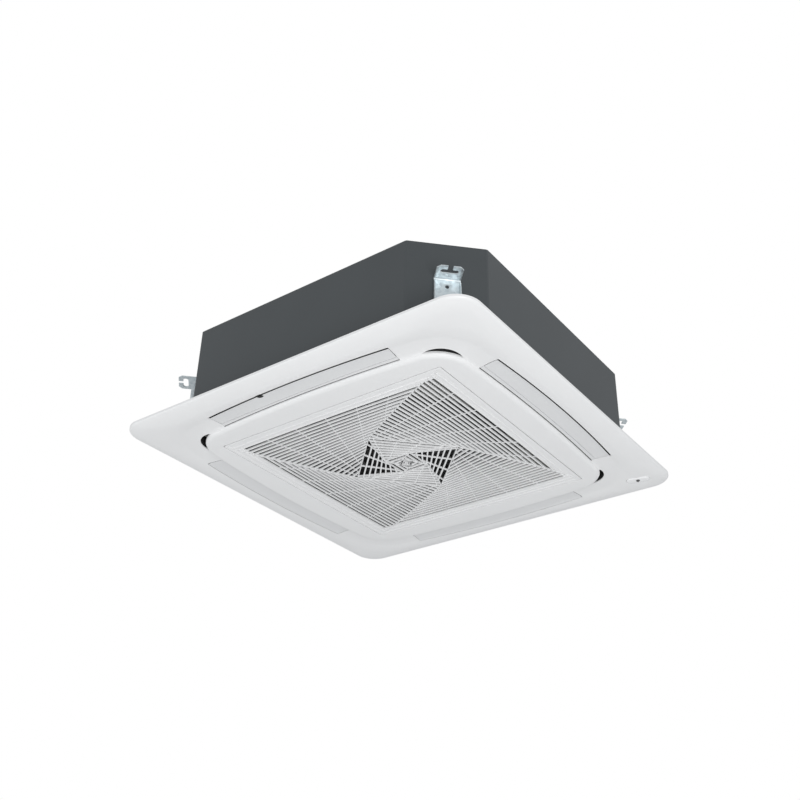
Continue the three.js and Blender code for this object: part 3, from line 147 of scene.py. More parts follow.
@dataclass(frozen=True)
class FlapSizes:
    """An air flap, drawn on the front side.

    Attributes:
        slot_outer: Outer edge of the slot that it closes.
        slant: How much shorter each end is at the inner edge.
        shell: Thickness of the visible skin.
        shade_layer: Thickness of the dark layer on it, painted shade.
        turn_up: How far the inner edge turns up.
        tuck: How far the slot reaches in past the blade's inner edge.
        notch: Start, end and depth of the front flap's finger notch.
        pivot: Distance of the hinge line from the middle.
        web: Radius of the webs that carry the pins.
        pin_reach: How far the pins reach past the blade's inner end.
    """

    inner: float = 372.6
    outer: float = 409.0
    slot_outer: float = 411.4
    inner_bow: float = 6.0
    outer_bow: float = 11.0
    half: float = 249.4
    slot_half: float = 251.2
    slant: float = 5.0
    shell: float = 0.6
    shade_layer: float = 1.8
    turn_up: float = 0.3
    tuck: float = 0.8
    notch: Point = (-97.5, -82.5, 7.5)
    pivot: float = 386.0
    pivot_drop: float = 9.5
    pin: float = 2.5
    pin_reach: float = 17.0
    web: float = 5.0
    web_low: float = -15.6


@dataclass(frozen=True)
class WhirlSizes:
    """The intake grille: nested squares, each a scaled copy turned by 45 degrees.

    Attributes:
        depth: Height of the frame round the slats.
        blade: Height of a slat.
        ratio: Size of a square against the one round it.
        turn: How far a sector's last slat turns against its first, in degrees.
        growth: The power by which that turn grows from slat to slat.
        bow: Bend of a slat, in degrees for a length of 600.
        curl: The power by which the seams between the sectors bend.
        hub: Where the cross ribs aim, as shares of a square's half size.
        ribs: Where the cross ribs start in each level, as shares of the half size.
        pin: Start, end and radius of the hinge's pins.
        rail: Place of the catch rails in X, and how far each stands to the side of it.
    """

    half: float = 304.0
    border: float = 8.0
    depth: float = 9.0
    blade: float = 4.4
    ratio: float = 0.35
    pitch: float = 12.2
    slat: float = 3.4
    rib: float = 2.2
    turn: float = 25.0
    growth: float = 2.5
    bow: float = 3.0
    curl: float = 1.15
    hub: Flat = (-0.433, 0.133)
    ribs: tuple[tuple[float, ...], ...] = ((-0.7, -0.38, -0.06, 0.26, 0.58),
                                           (-0.9, -0.36, 0.18, 0.7), ())
    pin: Point = (301.0, 308.5, 1.5)
    rail: Flat = (200.0, 16.85)


@dataclass(frozen=True)
class NetSizes:
    """The air filter's net of square threads."""

    half: float = 283.0
    pitch: float = 2.2
    height: float = -12.0
    half_width: float = 0.36
    half_depth: float = 0.22


@dataclass(frozen=True)
class BodySizes:
    """The steel body above the ceiling.

    Attributes:
        chamfer_face: Distance of the cut corners from the middle.
        beads: Radii of the two rings pressed into the top.
        low_row: Height of the lowest screws.
        hanger_row: Height of the screws at the foot of a hanger.
    """

    half: float = 420.0
    chamfer_face: float = 507.488
    base: float = 14.0
    top: float = 230.0
    sheet: float = 1.5
    bend: float = 9.0
    beads: Flat = (118.0, 300.0)
    low_row: float = 22.0
    hanger_row: float = 34.0


@dataclass(frozen=True)
class HangerSizes:
    """A hanger, drawn on the cut corner that faces +X.

    Attributes:
        foot: Distance of its back from the middle.
        reach: Distance of its tip from the middle.
        ear: Height of the ear's lower face.
        flange: Width of the rails along its foot.
        slot: Distance of the rod's slot from the middle.
        throat: Width of the way into that slot.
        clip: Cut-off at the ear's corners.
        key: Height and radius of the hole in the foot.
        marks: Places of the three small windows under the ear, and half their width.
    """

    foot: float = 507.788
    reach: float = 553.488
    ear: float = 137.0
    sheet: float = 2.5
    width: float = 56.0
    base: float = 20.0
    flange: float = 12.0
    slot: float = 536.488
    slot_length: float = 38.0
    slot_width: float = 12.0
    throat: float = 11.0
    bend: float = 4.0
    clip: float = 8.0
    key: Flat = (118.0, 4.2)
    marks: Point = (-21.5, 1.0, 21.5)
    mark_half: float = 4.5
    edge: float = 0.35


@dataclass(frozen=True)
class FanSizes:
    """The turbo fan and its inlet.

    Attributes:
        eye: Radius of the fan's inlet.
        ring_rise: Height of the inlet ring.
        wall: Wall of the ring, the dome and the back plate.
        dome: Radius of the hub's dome at the back plate.
        bore: Radius of the shaft's hole.
        root: Radius at which the blades start.
        sweep: How far a blade lags from root to rim, in degrees.
        sweep_growth: The power by which that lag grows.
        lean: Angle of a blade's thickness against its radius, in radians.
        mouth: Radius and height at the throat of the inlet, then at its foot.
        mouth_wall: Wall of the inlet.
        mouth_flange: Radius of the inlet's flange.
    """

    base: float = 63.7
    top: float = 191.7
    rim: float = 235.2
    eye: float = 194.2
    ring_rise: float = 40.96
    wall: float = 3.0
    dome: float = 95.0
    bore: float = 6.35
    blades: int = 7
    root: float = 138.0
    sweep: float = 46.0
    sweep_growth: float = 1.3
    lean: float = 0.9
    blade_half: float = 2.5
    mouth: tuple[float, float, float, float] = (185.7, 69.7, 225.7, 11.5)
    mouth_wall: float = 2.5
    mouth_flange: float = 245.7
    nut_radius: float = 11.0
    nut: Flat = (102.4, 109.4)


@dataclass(frozen=True)
class PipeSizes:
    """What leaves the body at its left side.

    Attributes:
        coil: Where the pipes leave the coil, in X and Y.
        y: Place of both pipes along the side.
        end: X of the pipes' open ends.
        length: Length of a flare nut.
        gas: Radius and height of the gas pipe.
        liquid: Radius and height of the liquid pipe.
        drain: Radius and height of the drain socket.
        drain_y: Its place along the side.
        gap: Clearance of each in its hole.
    """

    coil: Flat = (-300.2, 202.6)
    y: float = 236.0
    end: float = -472.0
    length: float = 20.0
    gas: Flat = (7.95, 89.0)
    liquid: Flat = (4.8, 125.0)
    drain: Flat = (16.0, 190.0)
    drain_y: float = 268.0
    gap: float = 0.35


PANEL = PanelSizes()
RECEIVER = ReceiverSizes()
FLAP = FlapSizes()
WHIRL = WhirlSizes()
NET = NetSizes()
BODY = BodySizes()
HANGER = HangerSizes()
FAN = FanSizes()
PIPES = PipeSizes()


# ---- Finishes -----------------------------------------------------------------------------


class Pattern(Enum):
    """What a surface shows when it is looked at closely."""

    MOULDED = "moulded"
    COATED = "coated"
    SPANGLE = "spangle"
    BRUSHED = "brushed"
    FOAM = "foam"
    FINNED = "finned"
    DRAWN = "drawn"
    GLOSSY = "glossy"


@dataclass(frozen=True)
class Finish:
    """A surface finish.

    Attributes:
        slot: The material's name and slot.
        low: One end of the slow drift of tone, in linear RGB.
        high: The other end.
        grain: Scale of the fine pattern.
        relief: Depth of the fine pattern, in metres.
        patch: Scale of the drift.
    """

    slot: str
    low: Point
    high: Point
    pattern: Pattern
    roughness: float
    metallic: float = 0.0
    grain: float = 900.0
    relief: float = 0.00004
    patch: float = 9.0


def grey(value: float, tint: float = 0.0) -> Point:
    """A linear grey, with a little blue for a positive tint."""
    return (value * (1 - tint), value, value * (1 + tint))


FINISHES = {
    finish.slot: finish
    for finish in (
        Finish("white_plastic", grey(0.80, 0.004), grey(0.83, 0.004), Pattern.MOULDED, 0.38),
        # A darker copy of the white plastic for the flaps and the lips beside them: painted shade.
        Finish("flap_plastic", grey(0.71, 0.008), grey(0.74, 0.008), Pattern.MOULDED, 0.36),
        Finish("window_plastic", grey(0.88, 0.006), grey(0.90, 0.006), Pattern.GLOSSY, 0.2),
        Finish("dark_steel", (0.050, 0.057, 0.061), (0.060, 0.068, 0.073), Pattern.COATED, 0.52,
               grain=1400.0, relief=0.00003, patch=5.0),
        Finish("zinc_steel", (0.62, 0.68, 0.71), (0.76, 0.82, 0.84), Pattern.SPANGLE, 0.46, 1.0,
               grain=170.0),
        Finish("bare_steel", grey(0.42), grey(0.52), Pattern.BRUSHED, 0.32, 1.0, grain=300.0),
        Finish("foam", (0.70, 0.70, 0.67), (0.78, 0.78, 0.75), Pattern.FOAM, 0.85, grain=420.0,
               relief=0.0002),
        # Near-black foam: painted shade, used for the collars in the corner outlets, the fill in
        # the parting grooves, the flaps' upper layer and the pad in the finger notch.
        Finish("dark_foam", grey(0.018, 0.03), grey(0.026, 0.03), Pattern.FOAM, 0.9, grain=500.0,
               relief=0.0002),
        # The coil's fins: stripes of painted shade between them.
        Finish("fin_pack", grey(0.50, 0.01), grey(0.62, 0.01), Pattern.FINNED, 0.35, 1.0),
        Finish("copper_tube", (0.46, 0.18, 0.09), (0.62, 0.27, 0.14), Pattern.DRAWN, 0.28, 1.0),
        Finish("brass", (0.52, 0.36, 0.10), (0.62, 0.44, 0.14), Pattern.BRUSHED, 0.25, 1.0,
               grain=500.0),
        Finish("black_plastic", grey(0.011, 0.02), grey(0.016, 0.02), Pattern.MOULDED, 0.5),
        Finish("grey_plastic", grey(0.23, 0.01), grey(0.27, 0.01), Pattern.MOULDED, 0.45),
        Finish("rubber", grey(0.010), grey(0.015), Pattern.MOULDED, 0.7, relief=0.00008),
        Finish("board", (0.016, 0.09, 0.035), (0.022, 0.12, 0.045), Pattern.COATED, 0.35),
        Finish("lens", grey(0.003), grey(0.005), Pattern.GLOSSY, 0.08),
    )
}


class NodeWriter:
    """Adds and wires shader or geometry nodes with few words."""

    def __init__(self, tree: bpy.types.NodeTree) -> None:
        """Starts on a tree."""
        self.tree = tree

    def add(self, kind: str, **values: object) -> bpy.types.Node:
        """Adds a node and sets its properties.

        Args:
            kind: The node's type name.
            **values: Properties of the node.

        Returns:
            The new node.
        """
        node = self.tree.nodes.new(kind)
        for name, value in values.items():
            setattr(node, name, value)
        node.location = (220 * (len(self.tree.nodes) % 9), -260 * (len(self.tree.nodes) // 9))
        return node

    def wire(self, source: bpy.types.NodeSocket, target: bpy.types.NodeSocket) -> None:
        """Links an output to an input."""
        self.tree.links.new(source, target)


def surface_group() -> bpy.types.NodeTree:
    """Makes the shared effect of a surface: a slow drift of tone and a fine grain.

    Returns:
        A shader group with the inputs Low, High, Patch, Grain, Relief and Stretch, and the
        outputs Color, Fine and Normal.
    """
    tree = bpy.data.node_groups.new("SurfaceDrift", "ShaderNodeTree")
    face = tree.interface
    for name, kind in (("Low", "NodeSocketColor"), ("High", "NodeSocketColor"),
                       ("Patch", "NodeSocketFloat"), ("Grain", "NodeSocketFloat"),
                       ("Relief", "NodeSocketFloat"), ("Stretch", "NodeSocketVector")):
        face.new_socket(name, in_out="INPUT", socket_type=kind)
    for name, kind in (("Color", "NodeSocketColor"), ("Fine", "NodeSocketFloat"),
                       ("Normal", "NodeSocketVector")):
        face.new_socket(name, in_out="OUTPUT", socket_type=kind)
    write = NodeWriter(tree)
    given = write.add("NodeGroupInput")
    result = write.add("NodeGroupOutput")
    place = write.add("ShaderNodeTexCoord")
    stretch = write.add("ShaderNodeVectorMath", operation="MULTIPLY")
    write.wire(place.outputs["Object"], stretch.inputs[0])
    write.wire(given.outputs["Stretch"], stretch.inputs[1])
    drift = write.add("ShaderNodeTexNoise")
    drift.inputs["Detail"].default_value = 3.0
    write.wire(place.outputs["Object"], drift.inputs["Vector"])
    write.wire(given.outputs["Patch"], drift.inputs["Scale"])
    fine = write.add("ShaderNodeTexNoise")
    fine.inputs["Detail"].default_value = 2.0
    write.wire(stretch.outputs["Vector"], fine.inputs["Vector"])
    write.wire(given.outputs["Grain"], fine.inputs["Scale"])
    mix = write.add("ShaderNodeMix", data_type="RGBA")
    write.wire(drift.outputs["Fac"], mix.inputs["Factor"])
    write.wire(given.outputs["Low"], mix.inputs["A"])
    write.wire(given.outputs["High"], mix.inputs["B"])
    bump = write.add("ShaderNodeBump")
    write.wire(fine.outputs["Fac"], bump.inputs["Height"])
    write.wire(given.outputs["Relief"], bump.inputs["Distance"])
    write.wire(mix.outputs["Result"], result.inputs["Color"])
    write.wire(fine.outputs["Fac"], result.inputs["Fine"])
    write.wire(bump.outputs["Normal"], result.inputs["Normal"])
    return tree


class FinishLibrary:
    """Makes one material for each finish and hands it out."""

    STRETCH = {Pattern.BRUSHED: (0.06, 1.0, 1.0), Pattern.DRAWN: (0.05, 1.0, 1.0)}
    UNEVEN = (Pattern.MOULDED, Pattern.COATED, Pattern.BRUSHED, Pattern.DRAWN)
    FIN_PITCH = 0.0022

    def __init__(self) -> None:
        """Makes the shared group."""
        self.group = surface_group()
        self.made: dict[str, bpy.types.Material] = {}

    def get(self, slot: str) -> bpy.types.Material:
        """Returns the material of a slot, and makes it the first time."""
        if slot not in self.made:
            self.made[slot] = self.build(FINISHES[slot])
        return self.made[slot]

    def build(self, finish: Finish) -> bpy.types.Material:
        """Makes a procedural material.

        Args:
            finish: The finish to make.

        Returns:
            A material with its own node tree.
        """
        material = bpy.data.materials.new(finish.slot)
        material.use_nodes = True
        tree = material.node_tree
        tree.nodes.clear()
        write = NodeWriter(tree)
        output = write.add("ShaderNodeOutputMaterial")
        shader = write.add("ShaderNodeBsdfPrincipled")
        shader.inputs["Metallic"].default_value = finish.metallic
        shader.inputs["Roughness"].default_value = finish.roughness
        write.wire(shader.outputs["BSDF"], output.inputs["Surface"])
        shared = write.add("ShaderNodeGroup", node_tree=self.group)
        for name, value in (("Low", (*finish.low, 1.0)), ("High", (*finish.high, 1.0)),
                            ("Patch", finish.patch), ("Grain", finish.grain),
                            ("Relief", finish.relief),
                            ("Stretch", self.STRETCH.get(finish.pattern, (1, 1, 1)))):
            shared.inputs[name].default_value = value
        colour, normal = shared.outputs["Color"], shared.outputs["Normal"]
        if finish.pattern is Pattern.SPANGLE:
            colour = self.spangle(write, finish, shader)
        elif finish.pattern is Pattern.FINNED:
            colour = self.fins(write, colour)
        elif finish.pattern is Pattern.FOAM:
            normal = self.beads(write, finish)
        elif finish.pattern in self.UNEVEN:
            self.spread(write, shared.outputs["Fine"], shader,
                        (finish.roughness - 0.06, finish.roughness + 0.08))
        if finish.pattern is Pattern.GLOSSY:
            shader.inputs["Coat Weight"].default_value = 1.0
        write.wire(colour, shader.inputs["Base Color"])
        write.wire(normal, shader.inputs["Normal"])
        material.diffuse_color = (*finish.high, 1.0)
        return material

    @staticmethod
    def spread(write: NodeWriter, value: bpy.types.NodeSocket, shader: bpy.types.Node,
               limits: Flat) -> None:
        """Lets the roughness follow a value.

        Args:
            write: The writer of the material's tree.
            value: A value from 0 to 1.
            shader: The shader whose roughness it sets.
            limits: The roughness at 0 and at 1.
        """
        reach = write.add("ShaderNodeMapRange")
        reach.inputs["To Min"].default_value, reach.inputs["To Max"].default_value = limits
        write.wire(value, reach.inputs["Value"])
        write.wire(reach.outputs["Result"], shader.inputs["Roughness"])

    @staticmethod
    def cells(write: NodeWriter, finish: Finish) -> bpy.types.Node:
        """Cells in object space at the finish's grain.

        Args:
            write: The writer of the material's tree.
            finish: The finish being made.

        Returns:
            The cell texture's node.
        """
        place = write.add("ShaderNodeTexCoord")
        cells = write.add("ShaderNodeTexVoronoi")
        cells.inputs["Scale"].default_value = finish.grain
        write.wire(place.outputs["Object"], cells.inputs["Vector"])
        return cells

    def spangle(self, write: NodeWriter, finish: Finish,
                shader: bpy.types.Node) -> bpy.types.NodeSocket:
        """The flower of galvanised sheet: cells, each with its own tone and gloss.

        Args:
            write: The writer of the material's tree.
            finish: The finish being made.
            shader: The shader whose roughness follows the cells.

        Returns:
            The colour.
        """
        cells = self.cells(write, finish)
        tone = write.add("ShaderNodeSeparateColor")
        write.wire(cells.outputs["Color"], tone.inputs["Color"])
        mix = write.add("ShaderNodeMix", data_type="RGBA")
        mix.inputs["A"].default_value = (*finish.low, 1.0)
        mix.inputs["B"].default_value = (*finish.high, 1.0)
        write.wire(tone.outputs["Red"], mix.inputs["Factor"])
        self.spread(write, tone.outputs["Green"], shader,
                    (finish.roughness - 0.08, finish.roughness + 0.14))
        return mix.outputs["Result"]

    def fins(self, write: NodeWriter, colour: bpy.types.NodeSocket) -> bpy.types.NodeSocket:
        """Thin upright fins seen edge on, round all sides of the coil, with painted shade between
        them.

        Args:
            write: The writer of the material's tree.
            colour: The fins' own colour.

        Returns:
            The colour with painted shade between the fins.
        """
        place = write.add("ShaderNodeTexCoord")
        split = write.add("ShaderNodeSeparateXYZ")
        write.wire(place.outputs["Object"], split.inputs["Vector"])
        along = write.add("ShaderNodeMath", operation="ADD")
        write.wire(split.outputs["X"], along.inputs[0])
        write.wire(split.outputs["Y"], along.inputs[1])
        wave = write.add("ShaderNodeMath", operation="MULTIPLY")
        wave.inputs[1].default_value = 2 * math.pi / self.FIN_PITCH
        write.wire(along.outputs["Value"], wave.inputs[0])
        sine = write.add("ShaderNodeMath", operation="SINE")
        write.wire(wave.outputs["Value"], sine.inputs[0])
        # Stripes that darken the colour between the fins: painted shade.
        shade = write.add("ShaderNodeMapRange")
        shade.inputs["From Min"].default_value = -1.0
        shade.inputs["To Min"].default_value = 0.25
        write.wire(sine.outputs["Value"], shade.inputs["Value"])
        mix = write.add("ShaderNodeMix", data_type="RGBA", blend_type="MULTIPLY")
        mix.inputs["Factor"].default_value = 1.0
        write.wire(colour, mix.inputs["A"])
        write.wire(shade.outputs["Result"], mix.inputs["B"])
        return mix.outputs["Result"]

    def beads(self, write: NodeWriter, finish: Finish) -> bpy.types.NodeSocket:
        """The fused beads of moulded foam.

        Args:
            write: The writer of the material's tree.
            finish: The finish being made.

        Returns:
            The normal.
        """
        cells = self.cells(write, finish)
        bump = write.add("ShaderNodeBump", invert=True)
        bump.inputs["Distance"].default_value = finish.relief
        write.wire(cells.outputs["Distance"], bump.inputs["Height"])
        return bump.outputs["Normal"]


# ---- Mesh making --------------------------------------------------------------------------


def turned(x: float, y: float, angle: float) -> Flat:
    """A point in plan turned about the origin."""
    c, s = math.cos(angle), math.sin(angle)
    return x * c - y * s, x * s + y * c


def bulge(bow: float, t: float, span: float) -> float:
    """How far an edge that bulges by bow stands out at t, with no bulge at +-span."""
    return bow * (1 - (t / span) ** 2)


def arc(cx: float, cy: float, radius: float, a: float, b: float, steps: int) -> list[Flat]:
    """Points on an arc from angle a to angle b, both ends included."""
    angles = [a + (b - a) * i / steps for i in range(steps + 1)]
    return [(cx + radius * math.cos(t), cy + radius * math.sin(t)) for t in angles]


def ring_points(radius: float, steps: int) -> list[Flat]:
    """Points at equal steps on a circle about the origin."""
    return [(radius * math.cos(2 * math.pi * i / steps), radius * math.sin(2 * math.pi * i / steps))
            for i in range(steps)]


def rod(start: float, end: float, radius: float) -> list[Flat]:
    """The profile of a plain rod or bore, for turning."""
    low, high = sorted((start, end))
    return [(0, low), (radius, low), (radius, high), (0, high)]


def square_loop(half: float, radius: float, z: float, bow: float = 0.0,
                side: int = 18, round_: int = 14, lean: float = 0.0) -> list[Point]:
    """A rounded square at height z whose sides bulge.

    Args:
        half: Half its size at the ends of a side.
        radius: Its corner radius.
        z: Its height.
        bow: How far the middle of each side stands out.
        side: Steps along a side.
        round_: Steps round a corner.
        lean: How far each side takes the ring's own share of the bulge, from 0 to 1.

    Returns:
        The loop's points, anticlockwise from above.
    """
    flat = half - radius
    points: list[Point] = []
    for q in range(4):
        own = bow * (1 + lean * (PANEL.lean[q] - 1))
        for i in range(side + 1):
            t = flat * (2 * i / side - 1)
            points.append((*turned(t, -half - bulge(own, t, flat), q * QUARTER), z))
        for i in range(1, round_):
            angle = -QUARTER + QUARTER * i / round_
            x, y = flat + radius * math.cos(angle), -flat + radius * math.sin(angle)
            points.append((*turned(x, y, q * QUARTER), z))
    return points


def octagon_loop(inset: float, bend: float, z: float, steps: int = 6) -> list[Point]:
    """The body's outline with rounded bends.

    Args:
        inset: How far it lies inside the body's outer face.
        bend: Radius of its bends.
        z: Its height.
        steps: Steps round a bend.

    Returns:
        The loop's points, anticlockwise from above.
    """
    half = BODY.half - inset
    face = BODY.chamfer_face - inset
    flat = face * math.sqrt(2) - half
    corners = [turned(x, -half, q * QUARTER) for q in range(4) for x in (-flat, flat)]
    points: list[Point] = []
    for i, (x, y) in enumerate(corners):
        normal = -QUARTER + (i // 2) * QUARTER
        start = normal - (math.pi / 4 if i % 2 == 0 else 0)
        mid = start + math.pi / 8
        reach = bend / math.cos(math.pi / 8)
        cx, cy = x - reach * math.cos(mid), y - reach * math.sin(mid)
        points += [(*p, z) for p in arc(cx, cy, bend, start, start + math.pi / 4, steps)]
    return points


class MeshMaker:
    """Collects closed bodies in millimetres and turns them into one object in metres."""

    def __init__(self, name: str) -> None:
        """Starts an empty piece."""
        self.name = name
        self.points: list[Point] = []
        self.faces: list[tuple[int, ...]] = []

    def loft(self, loops: Sequence[Sequence[Point]], ring: bool = False) -> "MeshMaker":
        """Joins loops of equal length.

        Args:
            loops: The loops, in order.
            ring: Whether the last joins the first, with no caps.

        Returns:
            This maker.
        """
        base, count = len(self.points), len(loops[0])
        for row in loops:
            self.points += row
        rows = len(loops) if ring else len(loops) - 1
        for r in range(rows):
            n = (r + 1) % len(loops)
            for i in range(count):
                j = (i + 1) % count
                self.faces.append((base + r * count + i, base + r * count + j,
                                   base + n * count + j, base + n * count + i))
        if not ring:
            self.faces.append(tuple(base + i for i in reversed(range(count))))
            self.faces.append(tuple(base + (len(loops) - 1) * count + i for i in range(count)))
        return self

    def prism(self, outline: Sequence[Flat], z0: float, z1: float) -> "MeshMaker":
        """A flat outline raised from z0 to z1."""
        return self.loft([[(x, y, z0) for x, y in outline], [(x, y, z1) for x, y in outline]])

    def box(self, x: Flat, y: Flat, z: Flat) -> "MeshMaker":
        """A block between three pairs of limits."""
        return self.prism([(x[0], y[0]), (x[1], y[0]), (x[1], y[1]), (x[0], y[1])], *z)

    def lathe(self, profile: Sequence[Flat], centre: Point = (0, 0, 0), axis: str = "z",
              steps: int = 96, closed: bool = False) -> "MeshMaker":
        """Turns a profile of (radius, height) points about an axis.

        Args:
            profile: The profile, which starts and ends on the axis unless it is closed.
            centre: A point on the axis, from which heights count.
            axis: The axis's letter.
            steps: Faces round the axis.
            closed: Whether the profile closes on itself, clear of the axis.

        Returns:
            This maker.
        """
        def put(r: float, h: float, i: int) -> Point:
            """The profile's point at one step round the axis."""
            u, v = r * math.cos(2 * math.pi * i / steps), r * math.sin(2 * math.pi * i / steps)
            local = {"z": (u, v, h), "x": (h, u, v), "y": (v, h, u)}[axis]
            return tuple(a + b for a, b in zip(local, centre))

        rows = profile if closed else [(max(r, ON_AXIS), h) for r, h in profile]
        return self.loft([[put(r, h, i) for i in range(steps)] for r, h in rows], ring=closed)

    def sweep(self, path: Sequence[Point], section: Sequence[Flat],
              up: Point = (0, 0, 1)) -> "MeshMaker":
        """Carries a section along a path.

        Args:
            path: The path's points.
            section: The section, as distances to the side and up.
            up: The direction that stays as far up as it can.

        Returns:
            This maker.
        """
        loops = []
        for i, point in enumerate(path):
            way = Vector(path[min(i + 1, len(path) - 1)]) - Vector(path[max(i - 1, 0)])
            side = way.cross(Vector(up)).normalized()
            top = side.cross(way).normalized()
            loops.append([tuple(Vector(point) + side * a + top * b) for a, b in section])
        return self.loft(loops)

    def mapped(self, change: Callable[[Point], Point]) -> "MeshMaker":
        """Moves every point by a function."""
        self.points = [change(p) for p in self.points]
        return self

    def merge(self, other: "MeshMaker") -> "MeshMaker":
        """Takes over another maker's bodies."""
        base = len(self.points)
        self.points += other.points
        self.faces += [tuple(base + i for i in face) for face in other.faces]
        return self

    def build(self, slot: str | None = None) -> bpy.types.Object:
        """Makes the object, with its faces outward.

        Args:
            slot: The finish to give it now, if any.

        Returns:
            The object.
        """
        mesh = bpy.data.meshes.new(self.name)
        mesh.from_pydata([tuple(c * MM for c in p) for p in self.points], [], self.faces)
        obj = linked(self.name, mesh)
        tidy(obj)
        if slot:
            mesh.materials.append(LIBRARY.get(slot))
        return obj


def linked(name: str, data: bpy.types.ID) -> bpy.types.Object:
    """Makes an object of a mesh, a camera or a lamp and links it to the scene."""
    obj = bpy.data.objects.new(name, data)
    bpy.context.scene.collection.objects.link(obj)
    return obj


def tidy(obj: bpy.types.Object, sharp: float = SHARP) -> None:
    """Turns the faces outward and sets smooth shading with sharp edges.

    Args:
        obj: The object.
        sharp: The angle in degrees above which an edge stays sharp.
    """
    work = bmesh.new()
    work.from_mesh(obj.data)
    bmesh.ops.remove_doubles(work, verts=work.verts, dist=1e-7)
    bmesh.ops.recalc_face_normals(work, faces=work.faces)
    work.to_mesh(obj.data)
    work.free()
    obj.data.shade_smooth()
    obj.data.set_sharp_from_angle(angle=math.radians(sharp))


def bake(obj: bpy.types.Object, sharp: float = SHARP) -> bpy.types.Object:
    """Replaces an object's mesh by its evaluated one and drops its modifiers.

    Args:
        obj: The object.
        sharp: The angle in degrees above which an edge stays sharp.

    Returns:
        The same object.
    """
    bpy.context.view_layer.update()
    graph = bpy.context.evaluated_depsgraph_get()
    mesh = bpy.data.meshes.new_from_object(obj.evaluated_get(graph))
    obj.modifiers.clear()
    obj.data = mesh
    tidy(obj, sharp)
    return obj


def cut(obj: bpy.types.Object, tool: bpy.types.Object,
        operation: str = "DIFFERENCE") -> bpy.types.Object:
    """Cuts a tool out of an object, or keeps only what lies in both, and removes the tool.

    Args:
        obj: The object.
        tool: The other object.
        operation: "DIFFERENCE" or "INTERSECT".

    Returns:
        The same object.
    """
    step = obj.modifiers.new("cut", "BOOLEAN")
    step.operation, step.solver, step.object = operation, "EXACT", tool
    bake(obj)
    bpy.data.objects.remove(tool)
    return obj


def soften(obj: bpy.types.Object, width: float, segments: int = 2) -> bpy.types.Object:
    """Rounds an object's sharp edges.

    Args:
        obj: The object.
        width: Width of the rounding in millimetres.
        segments: Steps across it.

    Returns:
        The same object.
    """
    step = obj.modifiers.new("soften", "BEVEL")
    step.width, step.segments, step.limit_method = width * MM, segments, "ANGLE"
    step.angle_limit = math.radians(40.0)
    step.use_clamp_overlap = True
    return bake(obj, SHARP_BENT)


def join(obj: bpy.types.Object, other: bpy.types.Object) -> None:
    """Adds another object's mesh to an object and removes the other.

    Args:
        obj: The object that grows.
        other: The object that goes into it.
    """
    work = bmesh.new()
    work.from_mesh(obj.data)
    work.from_mesh(other.data)
    work.to_mesh(obj.data)
    work.free()
    bpy.data.objects.remove(other)
    tidy(obj, SHARP_BENT)


# ---- Repeats ------------------------------------------------------------------------------


